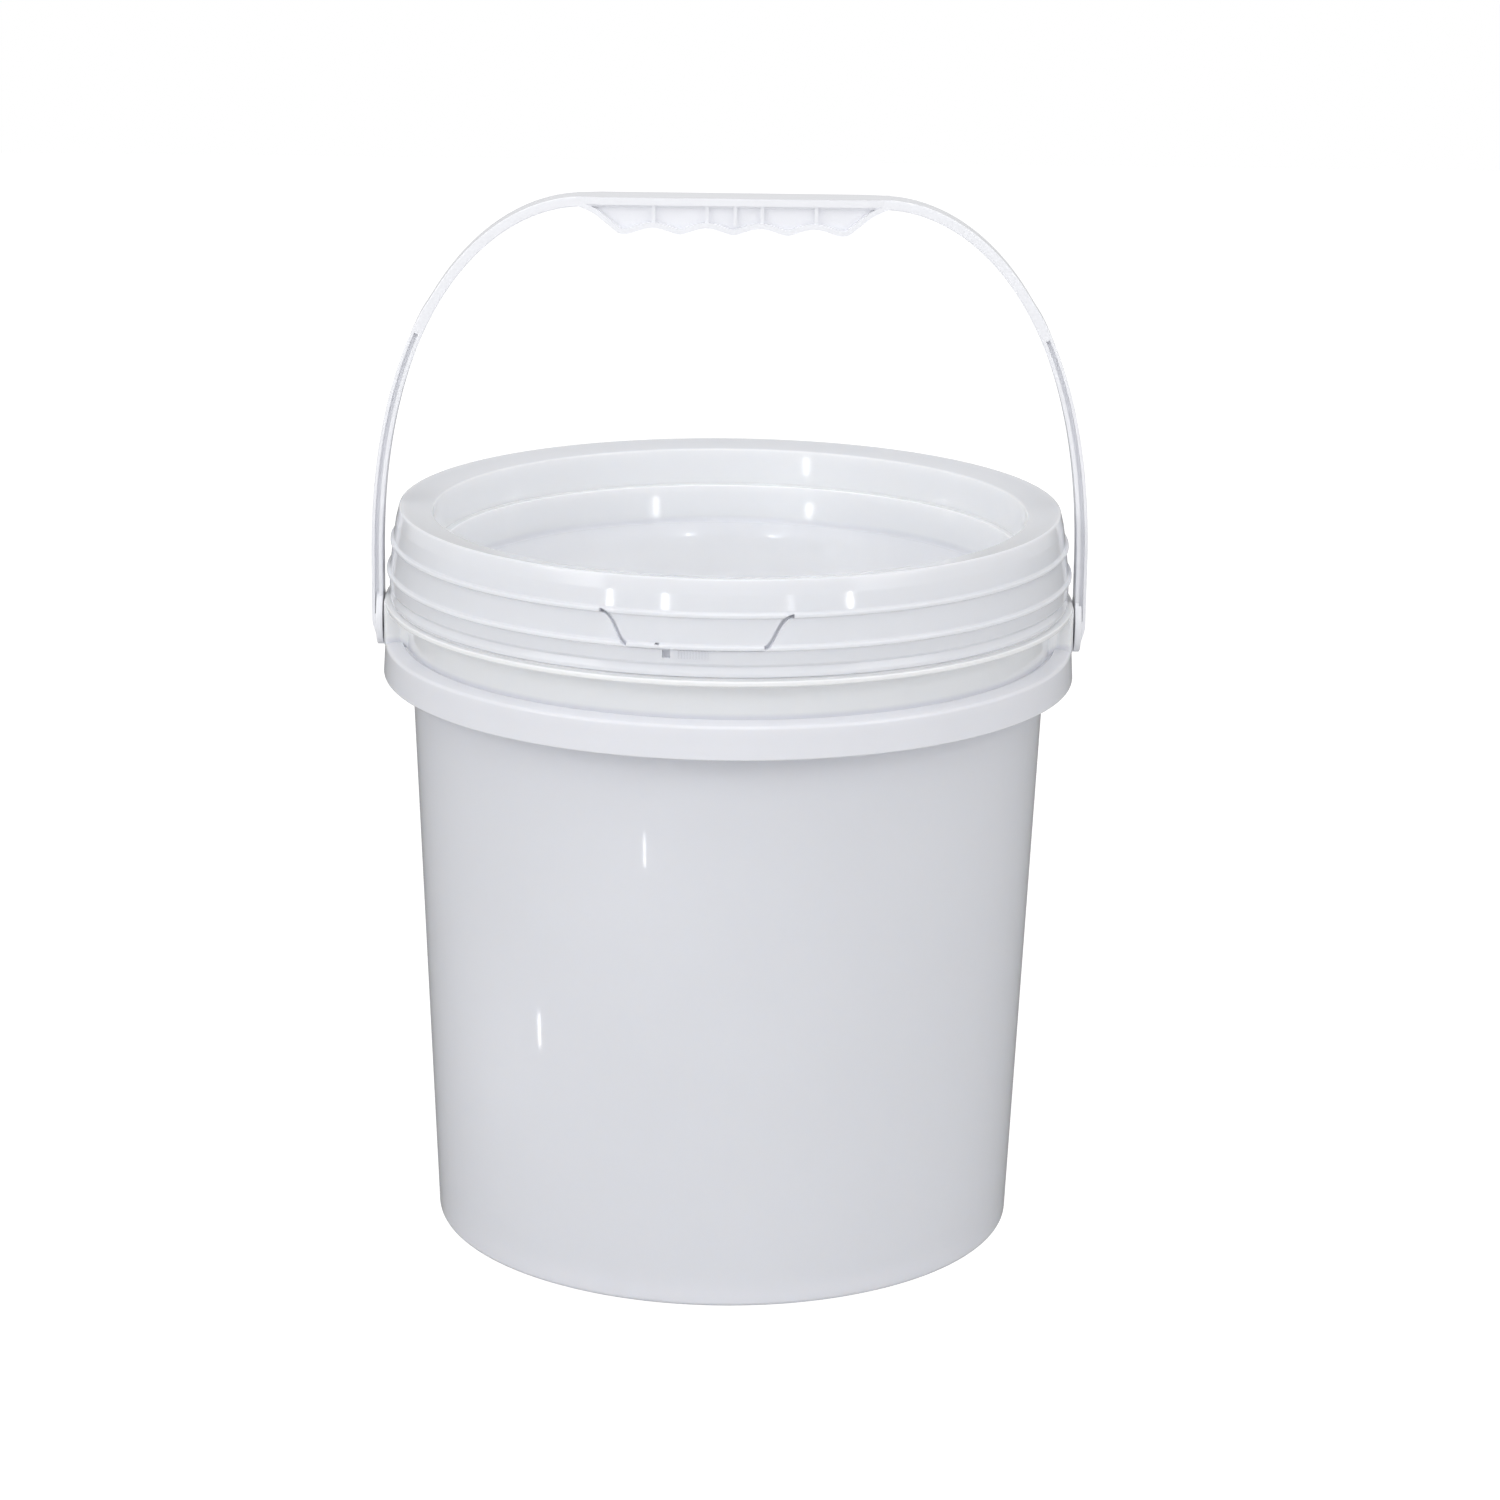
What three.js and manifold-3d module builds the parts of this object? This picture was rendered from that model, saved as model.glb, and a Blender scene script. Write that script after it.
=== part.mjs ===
// A ten litre plastic pail: a bucket, a press-on lid with its sealing ring, and a carrying handle.
// Units are millimetres, +Z is up, and the origin is the middle of the bucket's foot.
// Angles round the pail are measured from the front, -Y, towards +X.

import * as THREE from 'three';
import { mergeVertices } from 'three/addons/utils/BufferGeometryUtils.js';
import Module from 'manifold-3d';

const wasm = await Module();
wasm.setup();

// Clearances
const runningGap = 0.3;         // between pieces that touch in the real pail
const legGap = 0.8;             // between an ear and the handle's leg

// Facets
const aroundFaces = 60;         // round the pail's axis
const pinFaces = 24;            // round the handle's pins and holes
const bendPoints = 18;          // along one bend of the handle
const wavePoints = 8;           // along one finger groove

// Bucket: body and base
const bucketHeight = 278.5;     // foot to rim
const bodyTaper = 11.7;         // the foot is this much narrower than the neck
const wall = 2;
const baseRise = 3;             // underside of the base above the foot
const baseThickness = 2.2;
const footRingWidth = 4.2;
const footRounding = 1.6;
const insideFillet = 5;
const hubRadius = 12;           // disc in the middle of the underside
const hubDrop = 1;
const baseRibCount = 12;
const baseRibThickness = 1.6;
const baseRibDepth = 1.8;

// Bucket: neck, flange and collar
const neckRadius = 124.2;
const neckStep = 1.9;           // the neck stands this far outside the top of the body
const bandHeight = 32.1;        // rim above the flange, the part that the lid covers
const flangeWidth = 7.8;
const flangeThickness = 1.9;
const earHeight = 12.3;         // free height between the collar and the flange
const collarOverFlange = 0.7;   // the collar's lower edge is this much wider than the flange
const collarDraft = 0.7;        // the collar's top edge is this much smaller
const collarDepth = 13.8;
const collarTopFall = 1.5;      // the collar's top slopes down to its edge
const collarRibCount = 24;
const collarRibThickness = 1.5;
const collarRibRise = 2;        // the ribs end this far above the collar's edge
const beadHeight = 2.4;         // snap bead that holds the lid down
const beadDrop = 24;            // bead below the rim
const rimLip = 0.2;             // the mouth is this much narrower than the neck's inside

// Ears that carry the handle
const earSetback = 0.1;         // flat outer face of an ear behind the flange's edge
const earHalfWidth = 15.5;
const earFlatHalfWidth = 12;
const earRootHalfWidth = 25;
const earRootStart = 1.6;       // the straight side ends and the flared root starts this far off the neck
const holeRadius = 4.9;

// Lid
const lidWall = 1.6;
const lidTopWall = 1.8;
const sealHeight = 2.4;
const lidBeadDepth = 1.4;       // hollow of the skirt above its snap bead
const topCrown = 0.3;           // extra thickness at the lid's outer top edge
const topFall = 2.1;            // the top slopes down from its outer to its inner edge
const stackingGap = 0.6;        // round the foot of a pail that stands in the recess
const recessDepth = 14.4;       // inner edge of the top to the stacking ledge
const ledgeWidth = 2.9;
const panelDepth = 14.7;        // stacking ledge to the flat panel
const panelFillet = 5;
const recessDraft = 0.5;
const plugWall = 1.4;           // rib that plugs the mouth of the bucket
const plugDepth = 8;
const gussetCount = 24;
const gussetThickness = 1.2;
const skirtGapToFlange = 1.9;   // slot between the skirt's lower edge and the flange
const upperRidgeDrop = 12.9;    // ridges below the lid's top edge
const lowerRidgeDrop = 24.4;
const lipStepDrop = 31.5;
const lowerRidgeOverLip = 1.2;  // radii against the lip at the skirt's lower edge
const upperRidgeUnderLip = 0.3;
const topEdgeUnderLip = 3.5;
const ridgeHeight = 0.9;        // a ridge stands this far over the band below it
const ridgeWidth = 1;

// Tear tab in the lid's skirt
const tabAngle = -5.3;          // middle of the tab, in degrees
const tabTopHalfAngle = 15.65;
const tabFootHalfAngle = 10.9;
const slitWidth = 1;
const scoreWidth = 0.5;         // thin line that tears when the tab is pulled
const scoreDepth = 0.8;
const windowAngle = -9.85;
const windowSize = 3;
const toothCount = 11;          // fine upright teeth that help the fingers
const toothFirstAngle = -8;
const toothPitch = 0.47;
const toothSize = 0.5;

// Handle
const pivotRise = 5.8;          // pivot above the collar
const handleReach = 163.5;      // pivot to the top of the handle
const handleWidth = 12;
const strapThickness = 3.8;
const legThickness = 4.3;
const legTaperHeight = 8.5;     // below the pivot the leg thins to the eye
const eyeRadius = 11;
const eyeThickness = 2.5;
const bendStart = 24;           // the legs are straight up to here above the pivot
const legFullness = 0.69;       // shares that set how square the bend is
const shoulderFullness = 0.47;
const flatHalfLength = 56;      // straight top of the handle
const rampDrop = 40.5;          // the leg's outer flange ends in a short ramp this far below the top
const innerFlange = 1.5;
const outerFlange = 1.2;
const legWeb = 8;
const pocketRise = 14;          // the leg's side pockets start this far above the pivot
const pocketDrop = 11;          // ramp to the top of the side pockets
const pinRadius = 4.5;
const pinHeadRadius = 5.8;
const pinHeadLength = 4.2;
const pinTipRadius = 3.8;
const pinSlot = 1.6;

// Grip
const gripWidth = 15;
const gripTopFlange = 2.8;
const gripLowFlange = 2;
const gripWeb = 9;
const fingerPitch = 21;
const fingerCount = 4;
const gripDepth = 14.1;         // top of the handle to the lowest points of the wavy edge
const grooveRise = 3.2;
const gripEndRun = 17;          // from the last bump to where the edge meets the strap
const gripEndKnee = 10.2;
const gripEndKneeRise = 7.3;
const gripTaper = 6;
const gripRibThickness = 1.4;
const gripRibs = [-30, -10, 0.6, 10.7, 31];

// Heights and radii that follow
const flangeTop = bucketHeight - bandHeight;
const flangeUnder = flangeTop - flangeThickness;
const collarTop = flangeUnder - earHeight;
const collarEdgeTop = collarTop - collarTopFall;
const collarBottom = collarTop - collarDepth;
const collarRoof = collarTop - collarTopFall - wall;
const footRadius = neckRadius - bodyTaper;
const flangeRadius = neckRadius + flangeWidth;
const collarRadius = flangeRadius + collarOverFlange;
const beadRadius = neckRadius + beadHeight;
const beadZ = bucketHeight - beadDrop;
const neckInside = neckRadius - wall;
const rimInside = neckInside - rimLip;
const earFace = flangeRadius - earSetback;
const earSideRadius = neckRadius + earRootStart;
const sealBottom = bucketHeight + runningGap;
const sealTop = sealBottom + sealHeight;
const lidTopZ = sealTop + runningGap + lidTopWall + topCrown;
const skirtBottom = flangeTop + skirtGapToFlange;
const lipRadius = beadRadius + runningGap + lidBeadDepth + lidWall;
const lowerRidgeRadius = lipRadius + lowerRidgeOverLip;
const upperRidgeRadius = lipRadius - upperRidgeUnderLip;
const topEdgeRadius = lipRadius - topEdgeUnderLip;
const plugRadius = rimInside - 2 * runningGap;
const recessRadius = footRadius + stackingGap + recessDraft;
const pivotHeight = collarTop + pivotRise;
const handleTop = pivotHeight + handleReach;
const rampTop = handleTop - rampDrop;
const pocketTop = rampTop - pocketDrop;
const bumpHeight = handleTop - gripDepth;
const grooveHeight = bumpHeight + grooveRise;
const legFace = earFace + legGap;

const bodyRadiusAt = (z) => footRadius + (neckRadius - neckStep - footRadius) * z / collarTop;

// Materials
const whitePlastic = { roughness: 0.32, metalness: 0 };
const bucketMaterial = new THREE.MeshStandardMaterial({ color: 0xdcdee4, ...whitePlastic });
const lidMaterial = new THREE.MeshStandardMaterial({ color: 0xe2e4ea, ...whitePlastic });
const handleMaterial = new THREE.MeshStandardMaterial({ color: 0xe8eaf0, ...whitePlastic });
const sealMaterial = new THREE.MeshStandardMaterial({ color: 0xd8d6cc, roughness: 0.7, metalness: 0 });

// Solids from three.js geometry
function solid(geometry) {
  const plain = geometry.index ? geometry.toNonIndexed() : geometry.clone();
  plain.deleteAttribute('normal');
  plain.deleteAttribute('uv');
  const merged = mergeVertices(plain, 1e-4);
  const corners = merged.index.array;
  const kept = [];
  for (let i = 0; i < corners.length; i += 3) {
    const [a, b, c] = [corners[i], corners[i + 1], corners[i + 2]];
    if (a !== b && b !== c && c !== a) kept.push(a, b, c);
  }
  return new wasm.Manifold(new wasm.Mesh({
    numProp: 3,
    vertProperties: new Float32Array(merged.attributes.position.array),
    triVerts: new Uint32Array(kept),
  }));
}

function geometryOf(manifold) {
  const mesh = manifold.getMesh();
  const geometry = new THREE.BufferGeometry();
  geometry.setAttribute('position', new THREE.BufferAttribute(mesh.vertProperties, mesh.numProp));
  geometry.setIndex(new THREE.BufferAttribute(mesh.triVerts, 1));
  geometry.computeVertexNormals();
  return geometry;
}

function namedMesh(name, manifold, material) {
  const mesh = new THREE.Mesh(geometryOf(manifold), material);
  mesh.name = name;
  return mesh;
}

const vector = ([x, y]) => new THREE.Vector2(x, y);

// A body of revolution about Z from [radius, height] points, listed anticlockwise.
function revolved(profile, faces = aroundFaces) {
  return new THREE.LatheGeometry(profile.map(vector), faces).rotateX(Math.PI / 2);
}

function disc(radius, from, to, faces = aroundFaces) {
  return revolved([[0, from], [radius, from], [radius, to], [0, to]], faces);
}

// A plan outline raised from one height to another.
function raised(outline, from, to) {
  const shape = new THREE.Shape(outline);
  const options = { depth: to - from, bevelEnabled: false };
  return new THREE.ExtrudeGeometry(shape, options).translate(0, 0, from);
}

// An outline drawn in X and Z, given a width in Y about the middle.
function across(outline, width) {
  const shape = new THREE.Shape(outline);
  const options = { depth: width, bevelEnabled: false };
  return new THREE.ExtrudeGeometry(shape, options).rotateX(Math.PI / 2).translate(0, width / 2, 0);
}

function block(x1, x2, y1, y2, z1, z2) {
  const box = new THREE.BoxGeometry(x2 - x1, y2 - y1, z2 - z1);
  return box.translate((x1 + x2) / 2, (y1 + y2) / 2, (z1 + z2) / 2);
}

// Turns a geometry that was drawn at +X to an angle measured from the front.
function turned(geometry, angle) {
  return geometry.rotateZ(THREE.MathUtils.degToRad(angle - 90));
}

// A fillet's points round a centre, from one direction to another, in degrees.
function fillet(x, y, radius, from, to, steps) {
  const points = [];
  for (let i = 0; i <= steps; i += 1) {
    const angle = THREE.MathUtils.degToRad(from + (to - from) * i / steps);
    points.push([x + radius * Math.cos(angle), y + radius * Math.sin(angle)]);
  }
  return points;
}

// The points of a line moved to its left.
function offset(points, distance) {
  return points.map((point, i) => {
    const before = points[Math.max(i - 1, 0)];
    const after = points[Math.min(i + 1, points.length - 1)];
    const along = new THREE.Vector2().subVectors(after, before).normalize();
    return new THREE.Vector2(point.x - along.y * distance, point.y + along.x * distance);
  });
}

function band(points, near, far) {
  return [...offset(points, near), ...offset(points, far).reverse()];
}

// Bucket
function bucketShell() {
  const baseTop = baseRise + baseThickness;
  const footInside = footRadius - footRounding - footRingWidth;
  const collarInside = collarRadius - wall;
  const insideCorner = bodyRadiusAt(baseTop + insideFillet) - wall - insideFillet;
  return revolved([
    [0, baseRise - hubDrop],
    [hubRadius, baseRise - hubDrop],
    [hubRadius + hubDrop / 2, baseRise],
    [footInside - 1, baseRise],
    [footInside, 0],
    ...fillet(footRadius - footRounding, footRounding, footRounding, -90, 0, 3),
    [bodyRadiusAt(collarRoof), collarRoof],
    [collarInside - collarDraft, collarRoof],
    [collarInside, collarBottom],
    [collarRadius, collarBottom],
    [collarRadius - collarDraft, collarEdgeTop - 0.8],
    [collarRadius - collarDraft - 0.6, collarEdgeTop],
    [neckRadius + 1.2, collarTop - 0.3],
    [neckRadius, collarTop + 0.8],
    [neckRadius, flangeUnder - 0.4],
    [neckRadius + 0.4, flangeUnder],
    [flangeRadius - 0.3, flangeUnder],
    [flangeRadius, flangeUnder + 0.4],
    [flangeRadius, flangeTop - 0.4],
    [flangeRadius - 0.3, flangeTop],
    [neckRadius, flangeTop],
    [neckRadius, beadZ - 2.4],
    [beadRadius, beadZ - 0.5],
    [beadRadius, beadZ + 0.5],
    [neckRadius, beadZ + 5],
    [neckRadius, bucketHeight - 1],
    [neckRadius - 0.6, bucketHeight],
    [rimInside + 0.6, bucketHeight],
    [rimInside, bucketHeight - 1],
    [neckInside, collarTop + 1.3],
    [bodyRadiusAt(collarRoof) - wall, collarRoof + 1],
    ...fillet(insideCorner, baseTop + insideFillet, insideFillet, 0, -90, 4),
    [0, baseTop],
  ]);
}

function radialRib(from, to, thickness, bottom, top) {
  return block(from, to, -thickness / 2, thickness / 2, bottom, top);
}

// Adds equally spaced copies of a piece made by a function, the first one half a pitch from the front.
function withRing(body, count, piece) {
  let result = body;
  for (let i = 0; i < count; i += 1) {
    result = result.add(solid(turned(piece(), (i + 0.5) * 360 / count)));
  }
  return result;
}

const collarRib = () => radialRib(
  bodyRadiusAt(collarBottom) - wall / 2,
  collarRadius - wall / 2 - collarDraft,
  collarRibThickness,
  collarBottom + collarRibRise,
  collarRoof + wall / 2,
);

const baseRib = () => radialRib(
  hubRadius - 1,
  footRadius - footRounding - footRingWidth + 1,
  baseRibThickness,
  baseRise - baseRibDepth,
  baseRise + baseThickness / 2,
);

// An ear at +X: a box under the flange, open underneath, whose outer plate has the pin's hole.
function earBlock() {
  const halfOutline = [
    [earFace, earFlatHalfWidth],
    [earFace - 0.9, earHalfWidth],
    [earSideRadius, earHalfWidth],
    [Math.sqrt(neckRadius ** 2 - earRootHalfWidth ** 2) - 0.2, earRootHalfWidth],
  ];
  const otherHalf = halfOutline.map(([x, y]) => [x, -y]).reverse();
  const outline = [...halfOutline, ...otherHalf].map(vector);
  const ear = solid(raised(outline, collarEdgeTop - 1.2, flangeUnder + flangeThickness / 2));
  return ear.subtract(solid(disc(neckRadius - wall / 2, collarRoof, flangeTop)));
}

function earCavity() {
  const inside = earHalfWidth - wall;
  const cavity = solid(block(neckRadius - 8, earFace - wall, -inside, inside, collarBottom - 1, flangeUnder));
  return cavity.subtract(solid(disc(neckRadius, collarBottom - 2, flangeTop)));
}

function pinHole() {
  const hole = disc(holeRadius, earFace - wall - 1, earFace + 1, pinFaces);
  return solid(hole.rotateY(Math.PI / 2).translate(0, 0, pivotHeight));
}

function makeBucket() {
  let bucket = solid(bucketShell());
  for (const side of [0, 180]) {
    bucket = bucket.add(earBlock().rotate([0, 0, side]));
    bucket = bucket.subtract(earCavity().rotate([0, 0, side]));
    bucket = bucket.subtract(pinHole().rotate([0, 0, side]));
  }
  bucket = withRing(bucket, collarRibCount, collarRib);
  return withRing(bucket, baseRibCount, baseRib);
}

// Lid
const recessTopZ = lidTopZ - topFall;
const ledgeZ = recessTopZ - recessDepth;
const panelZ = ledgeZ - panelDepth;
const ledgeInside = recessRadius - recessDraft - ledgeWidth;
const upperRidgeZ = lidTopZ - upperRidgeDrop;
const lowerRidgeZ = lidTopZ - lowerRidgeDrop;
const lipStepZ = lidTopZ - lipStepDrop;
const plugTopZ = sealTop + runningGap;
const sealOutside = neckRadius + runningGap;

// The outside of the skirt, from its lower edge to the lid's top edge.
function skirtOutside() {
  return [
    [lipRadius - 0.7, skirtBottom],
    [lipRadius, skirtBottom + 0.9],
    [lipRadius, lipStepZ - 1],
    [lipRadius - 0.7, lipStepZ],
    [lowerRidgeRadius - ridgeHeight - 0.4, lipStepZ + 0.6],
    [lowerRidgeRadius - ridgeHeight, lowerRidgeZ - ridgeWidth],
    [lowerRidgeRadius, lowerRidgeZ - ridgeWidth / 2],
    [lowerRidgeRadius, lowerRidgeZ + 0.1],
    [lowerRidgeRadius - 0.5, lowerRidgeZ + ridgeWidth],
    [upperRidgeRadius - ridgeHeight, upperRidgeZ - ridgeWidth],
    [upperRidgeRadius, upperRidgeZ - ridgeWidth / 2],
    [upperRidgeRadius, upperRidgeZ + 0.1],
    [upperRidgeRadius - 0.4, upperRidgeZ + ridgeWidth],
    [topEdgeRadius + 0.7, lidTopZ - 2.4],
    [topEdgeRadius, lidTopZ - 0.9],
    [topEdgeRadius - 0.9, lidTopZ - 0.1],
  ];
}

function lidShell() {
  const recessBack = recessRadius + lidTopWall;
  const ledgeBack = ledgeInside + lidTopWall;
  const snapRadius = beadRadius + runningGap;
  const insideFloor = panelZ + panelFillet;
  return revolved([
    [0, panelZ - lidTopWall],
    [ledgeBack - panelFillet - recessDraft, panelZ - lidTopWall],
    [ledgeBack - recessDraft - 1, panelZ + 0.6],
    [ledgeBack, ledgeZ - lidTopWall],
    [recessBack - recessDraft, ledgeZ - lidTopWall],
    [recessBack, recessTopZ - lidTopWall],
    [plugRadius - plugWall, recessTopZ - lidTopWall + 0.6],
    [plugRadius - plugWall, plugTopZ - plugDepth],
    [plugRadius - 0.6, plugTopZ - plugDepth - 0.3],
    [plugRadius, plugTopZ - plugDepth + 0.6],
    [plugRadius, plugTopZ],
    [sealOutside + runningGap, plugTopZ],
    [upperRidgeRadius - lidWall - 1, upperRidgeZ],
    [lowerRidgeRadius - lidWall - 1.3, lowerRidgeZ],
    [lipRadius - lidWall, lipStepZ],
    [snapRadius, lipStepZ - 1.6],
    [snapRadius, skirtBottom + 1],
    [snapRadius + 0.8, skirtBottom],
    ...skirtOutside(),
    [recessRadius + 0.8, recessTopZ + 0.1],
    [recessRadius, recessTopZ - 0.7],
    [recessRadius - recessDraft, ledgeZ],
    [ledgeInside + 0.3, ledgeZ],
    [ledgeInside, ledgeZ - 0.4],
    ...fillet(ledgeInside - recessDraft * 2 - panelFillet, insideFloor, panelFillet, 0, -90, 5),
    [0, panelZ],
  ]);
}

const gusset = () => radialRib(
  recessRadius + lidTopWall / 2,
  plugRadius - plugWall / 2,
  gussetThickness,
  plugTopZ - plugDepth + 2,
  recessTopZ - lidTopWall / 2,
);

// Moves an outline drawn in [sideways, height] onto the skirt, facing outwards at an angle.
function onSkirt(outline, angle, from, to) {
  const shape = new THREE.Shape(outline);
  const slab = new THREE.ExtrudeGeometry(shape, { depth: to - from, bevelEnabled: false });
  const turn = THREE.MathUtils.degToRad(angle);
  const sideways = new THREE.Vector3(Math.cos(turn), Math.sin(turn), 0);
  const up = new THREE.Vector3(0, 0, 1);
  const outwards = new THREE.Vector3(Math.sin(turn), -Math.cos(turn), 0);
  const place = new THREE.Matrix4().makeBasis(sideways, up, outwards);
  place.setPosition(outwards.clone().multiplyScalar(from));
  return slab.applyMatrix4(place);
}

const cutFrom = beadRadius - 1;
const cutTo = lowerRidgeRadius + 2;

// The curved slit at one end of the tab, from the upper ridge down to the tear line.
function tabEndSlit(side) {
  const width = THREE.MathUtils.degToRad(tabTopHalfAngle - tabFootHalfAngle) * lowerRidgeRadius;
  const height = upperRidgeZ - lowerRidgeZ - 0.2;
  const middleAngle = tabAngle + side * (tabTopHalfAngle + tabFootHalfAngle) / 2;
  const curve = new THREE.CubicBezierCurve(
    new THREE.Vector2(side * width / 2, upperRidgeZ - 0.1),
    new THREE.Vector2(side * -0.05 * width, upperRidgeZ - 0.1),
    new THREE.Vector2(side * -0.15 * width, upperRidgeZ - height),
    new THREE.Vector2(side * -width / 2, upperRidgeZ - height),
  );
  const outline = band(curve.getPoints(12), -slitWidth / 2, slitWidth / 2);
  return solid(onSkirt(side > 0 ? outline : outline.reverse(), middleAngle, cutFrom, cutTo));
}

// The score line under the tab, from the foot of one slit to the other.
function scoreLine() {
  const start = THREE.MathUtils.degToRad(tabAngle - tabFootHalfAngle - 90);
  const end = THREE.MathUtils.degToRad(tabAngle + tabFootHalfAngle - 90);
  const floor = lowerRidgeRadius - ridgeHeight - scoreDepth;
  const shape = new THREE.Shape();
  shape.absarc(0, 0, cutTo, start, end, false);
  shape.absarc(0, 0, floor, end, start, true);
  const options = { depth: scoreWidth, bevelEnabled: false, curveSegments: 6 };
  return solid(new THREE.ExtrudeGeometry(shape, options).translate(0, 0, lowerRidgeZ - scoreWidth / 2));
}

function square(middle, size) {
  const half = size / 2;
  const corners = [[-half, -half], [half, -half], [half, half], [-half, half]];
  return corners.map(([x, y]) => new THREE.Vector2(x, y + middle));
}

function makeLid() {
  const windowZ = lowerRidgeZ - 1.2 - windowSize / 2;
  let lid = withRing(solid(lidShell()), gussetCount, gusset);
  for (const side of [-1, 1]) {
    lid = lid.subtract(tabEndSlit(side));
  }
  lid = lid.subtract(scoreLine());
  lid = lid.subtract(solid(onSkirt(square(windowZ, windowSize), windowAngle, cutFrom, cutTo)));
  const bandRadius = lowerRidgeRadius - ridgeHeight;
  for (let i = 0; i < toothCount; i += 1) {
    const angle = toothFirstAngle + i * toothPitch;
    const tooth = square(windowZ, windowSize).map(({ x, y }) => new THREE.Vector2(x * toothSize / windowSize, y));
    lid = lid.add(solid(onSkirt(tooth, angle, bandRadius - 0.8, bandRadius + 0.35)));
  }
  return lid;
}

// Sealing ring between the rim and the lid
function makeSeal() {
  const inside = plugRadius + runningGap;
  const corner = 0.4;
  const profile = [
    [inside, sealBottom],
    [sealOutside - corner, sealBottom],
    [sealOutside, sealBottom + corner],
    [sealOutside, sealTop - corner],
    [sealOutside - corner, sealTop],
    [inside + corner, sealTop],
    [inside, sealTop - corner],
    [inside, sealBottom],
  ];
  return solid(revolved(profile));
}

// Handle
const strapUnder = handleTop - strapThickness;
const bendFoot = pivotHeight + bendStart;

// The inner line of the left half of the handle, from the pivot up to the straight top.
function halfLine() {
  const bend = new THREE.CubicBezierCurve(
    new THREE.Vector2(-legFace, bendFoot),
    new THREE.Vector2(-legFace, bendFoot + legFullness * (strapUnder - bendFoot)),
    new THREE.Vector2(-flatHalfLength - shoulderFullness * (legFace - flatHalfLength), strapUnder),
    new THREE.Vector2(-flatHalfLength, strapUnder),
  );
  return [new THREE.Vector2(-legFace, pivotHeight), ...bend.getSpacedPoints(bendPoints)];
}

function strap() {
  const left = halfLine();
  const right = left.map(({ x, y }) => new THREE.Vector2(-x, y)).reverse();
  return solid(across(band([...left, ...right], 0, strapThickness), handleWidth));
}

// The stiff I-shaped lower part of the left leg, with its eye.
function leg() {
  const line = halfLine().filter(({ y }) => y < rampTop);
  const foot = new THREE.Vector2(-legFace, pivotHeight - legTaperHeight);
  const outer = offset(line, legThickness);
  outer[outer.length - 1] = offset(line, strapThickness).pop();
  const outline = [foot, ...line, ...outer.reverse(), foot.clone().setX(foot.x - eyeThickness)];
  const eye = disc(eyeRadius, legFace, legFace + eyeThickness, 2 * pinFaces).rotateY(-Math.PI / 2);
  const body = solid(across(outline, handleWidth)).add(solid(eye.translate(0, 0, pivotHeight)));
  const inner = line.filter(({ y }) => y < pocketTop);
  inner[0] = new THREE.Vector2(-legFace, pivotHeight + pocketRise);
  const pocketOutline = band(inner, innerFlange, legThickness - outerFlange);
  const pocketDepth = (handleWidth - legWeb) / 2;
  return { body, pocketOutline, pocketDepth };
}

// The pin that snaps into the left ear: a shaft, a barbed head and a slot that lets it spring.
function pin() {
  const headFace = earFace - wall - runningGap;
  const tip = headFace - pinHeadLength;
  const profile = [
    [0, -legFace - 0.5],
    [pinRadius, -legFace - 0.5],
    [pinRadius, -headFace],
    [pinHeadRadius, -headFace],
    [pinHeadRadius, -headFace + 0.8],
    [pinTipRadius, -tip],
    [0, -tip],
  ];
  const shaft = solid(revolved(profile, pinFaces).rotateY(Math.PI / 2).translate(0, 0, pivotHeight));
  const slot = block(
    -earFace + 0.5, -tip + 1,
    -pinSlot / 2, pinSlot / 2,
    pivotHeight - 2 * pinHeadRadius, pivotHeight + 2 * pinHeadRadius,
  );
  return shaft.subtract(solid(slot));
}

// Half of the grip's wavy lower edge, from the middle outwards.
function gripEdgeHalf() {
  const points = [];
  const waves = fingerCount / 2;
  const last = waves * fingerPitch;
  for (let i = 0; i <= waves * wavePoints; i += 1) {
    const x = i * fingerPitch / wavePoints;
    const rise = (0.5 - 0.5 * Math.cos(2 * Math.PI * x / fingerPitch)) ** 0.8;
    points.push([x, bumpHeight + (grooveHeight - bumpHeight) * rise]);
  }
  points.push([last + 1.8, bumpHeight + 0.3]);
  points.push([last + 3.6, bumpHeight + 1.3]);
  points.push([last + gripEndKnee, bumpHeight + gripEndKneeRise]);
  points.push([last + gripEndRun, strapUnder + 0.4]);
  return points;
}

function grip() {
  const half = gripEdgeHalf();
  const otherHalf = half.slice(1).map(([x, z]) => [-x, z]).reverse();
  const edge = [...otherHalf, ...half].map(vector);
  const end = half[half.length - 1][0];
  const top = handleTop - gripTopFlange;
  const webOutline = [...edge, new THREE.Vector2(end, top + 1), new THREE.Vector2(-end, top + 1)];
  let body = solid(across(webOutline, gripWeb));
  body = body.add(solid(across(band(edge, 0, gripLowFlange), gripWidth)));
  body = body.add(solid(block(-end, end, -gripWidth / 2, gripWidth / 2, top, handleTop)));
  const upright = gripWidth / 2 - 1;
  for (const x of gripRibs) {
    const ribHalf = gripRibThickness / 2;
    body = body.add(solid(block(x - ribHalf, x + ribHalf, -upright, upright, grooveHeight + 1, top + 1)));
  }
  const narrow = handleWidth / 2;
  const wide = gripWidth / 2;
  const quarter = [[end, narrow], [end - gripTaper, wide]];
  const plan = [
    ...quarter,
    ...quarter.map(([x, y]) => [-x, y]).reverse(),
    ...quarter.map(([x, y]) => [-x, -y]),
    ...quarter.map(([x, y]) => [x, -y]).reverse(),
  ];
  return body.intersect(solid(raised(plan.map(vector), bumpHeight - 1, handleTop)));
}

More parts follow.
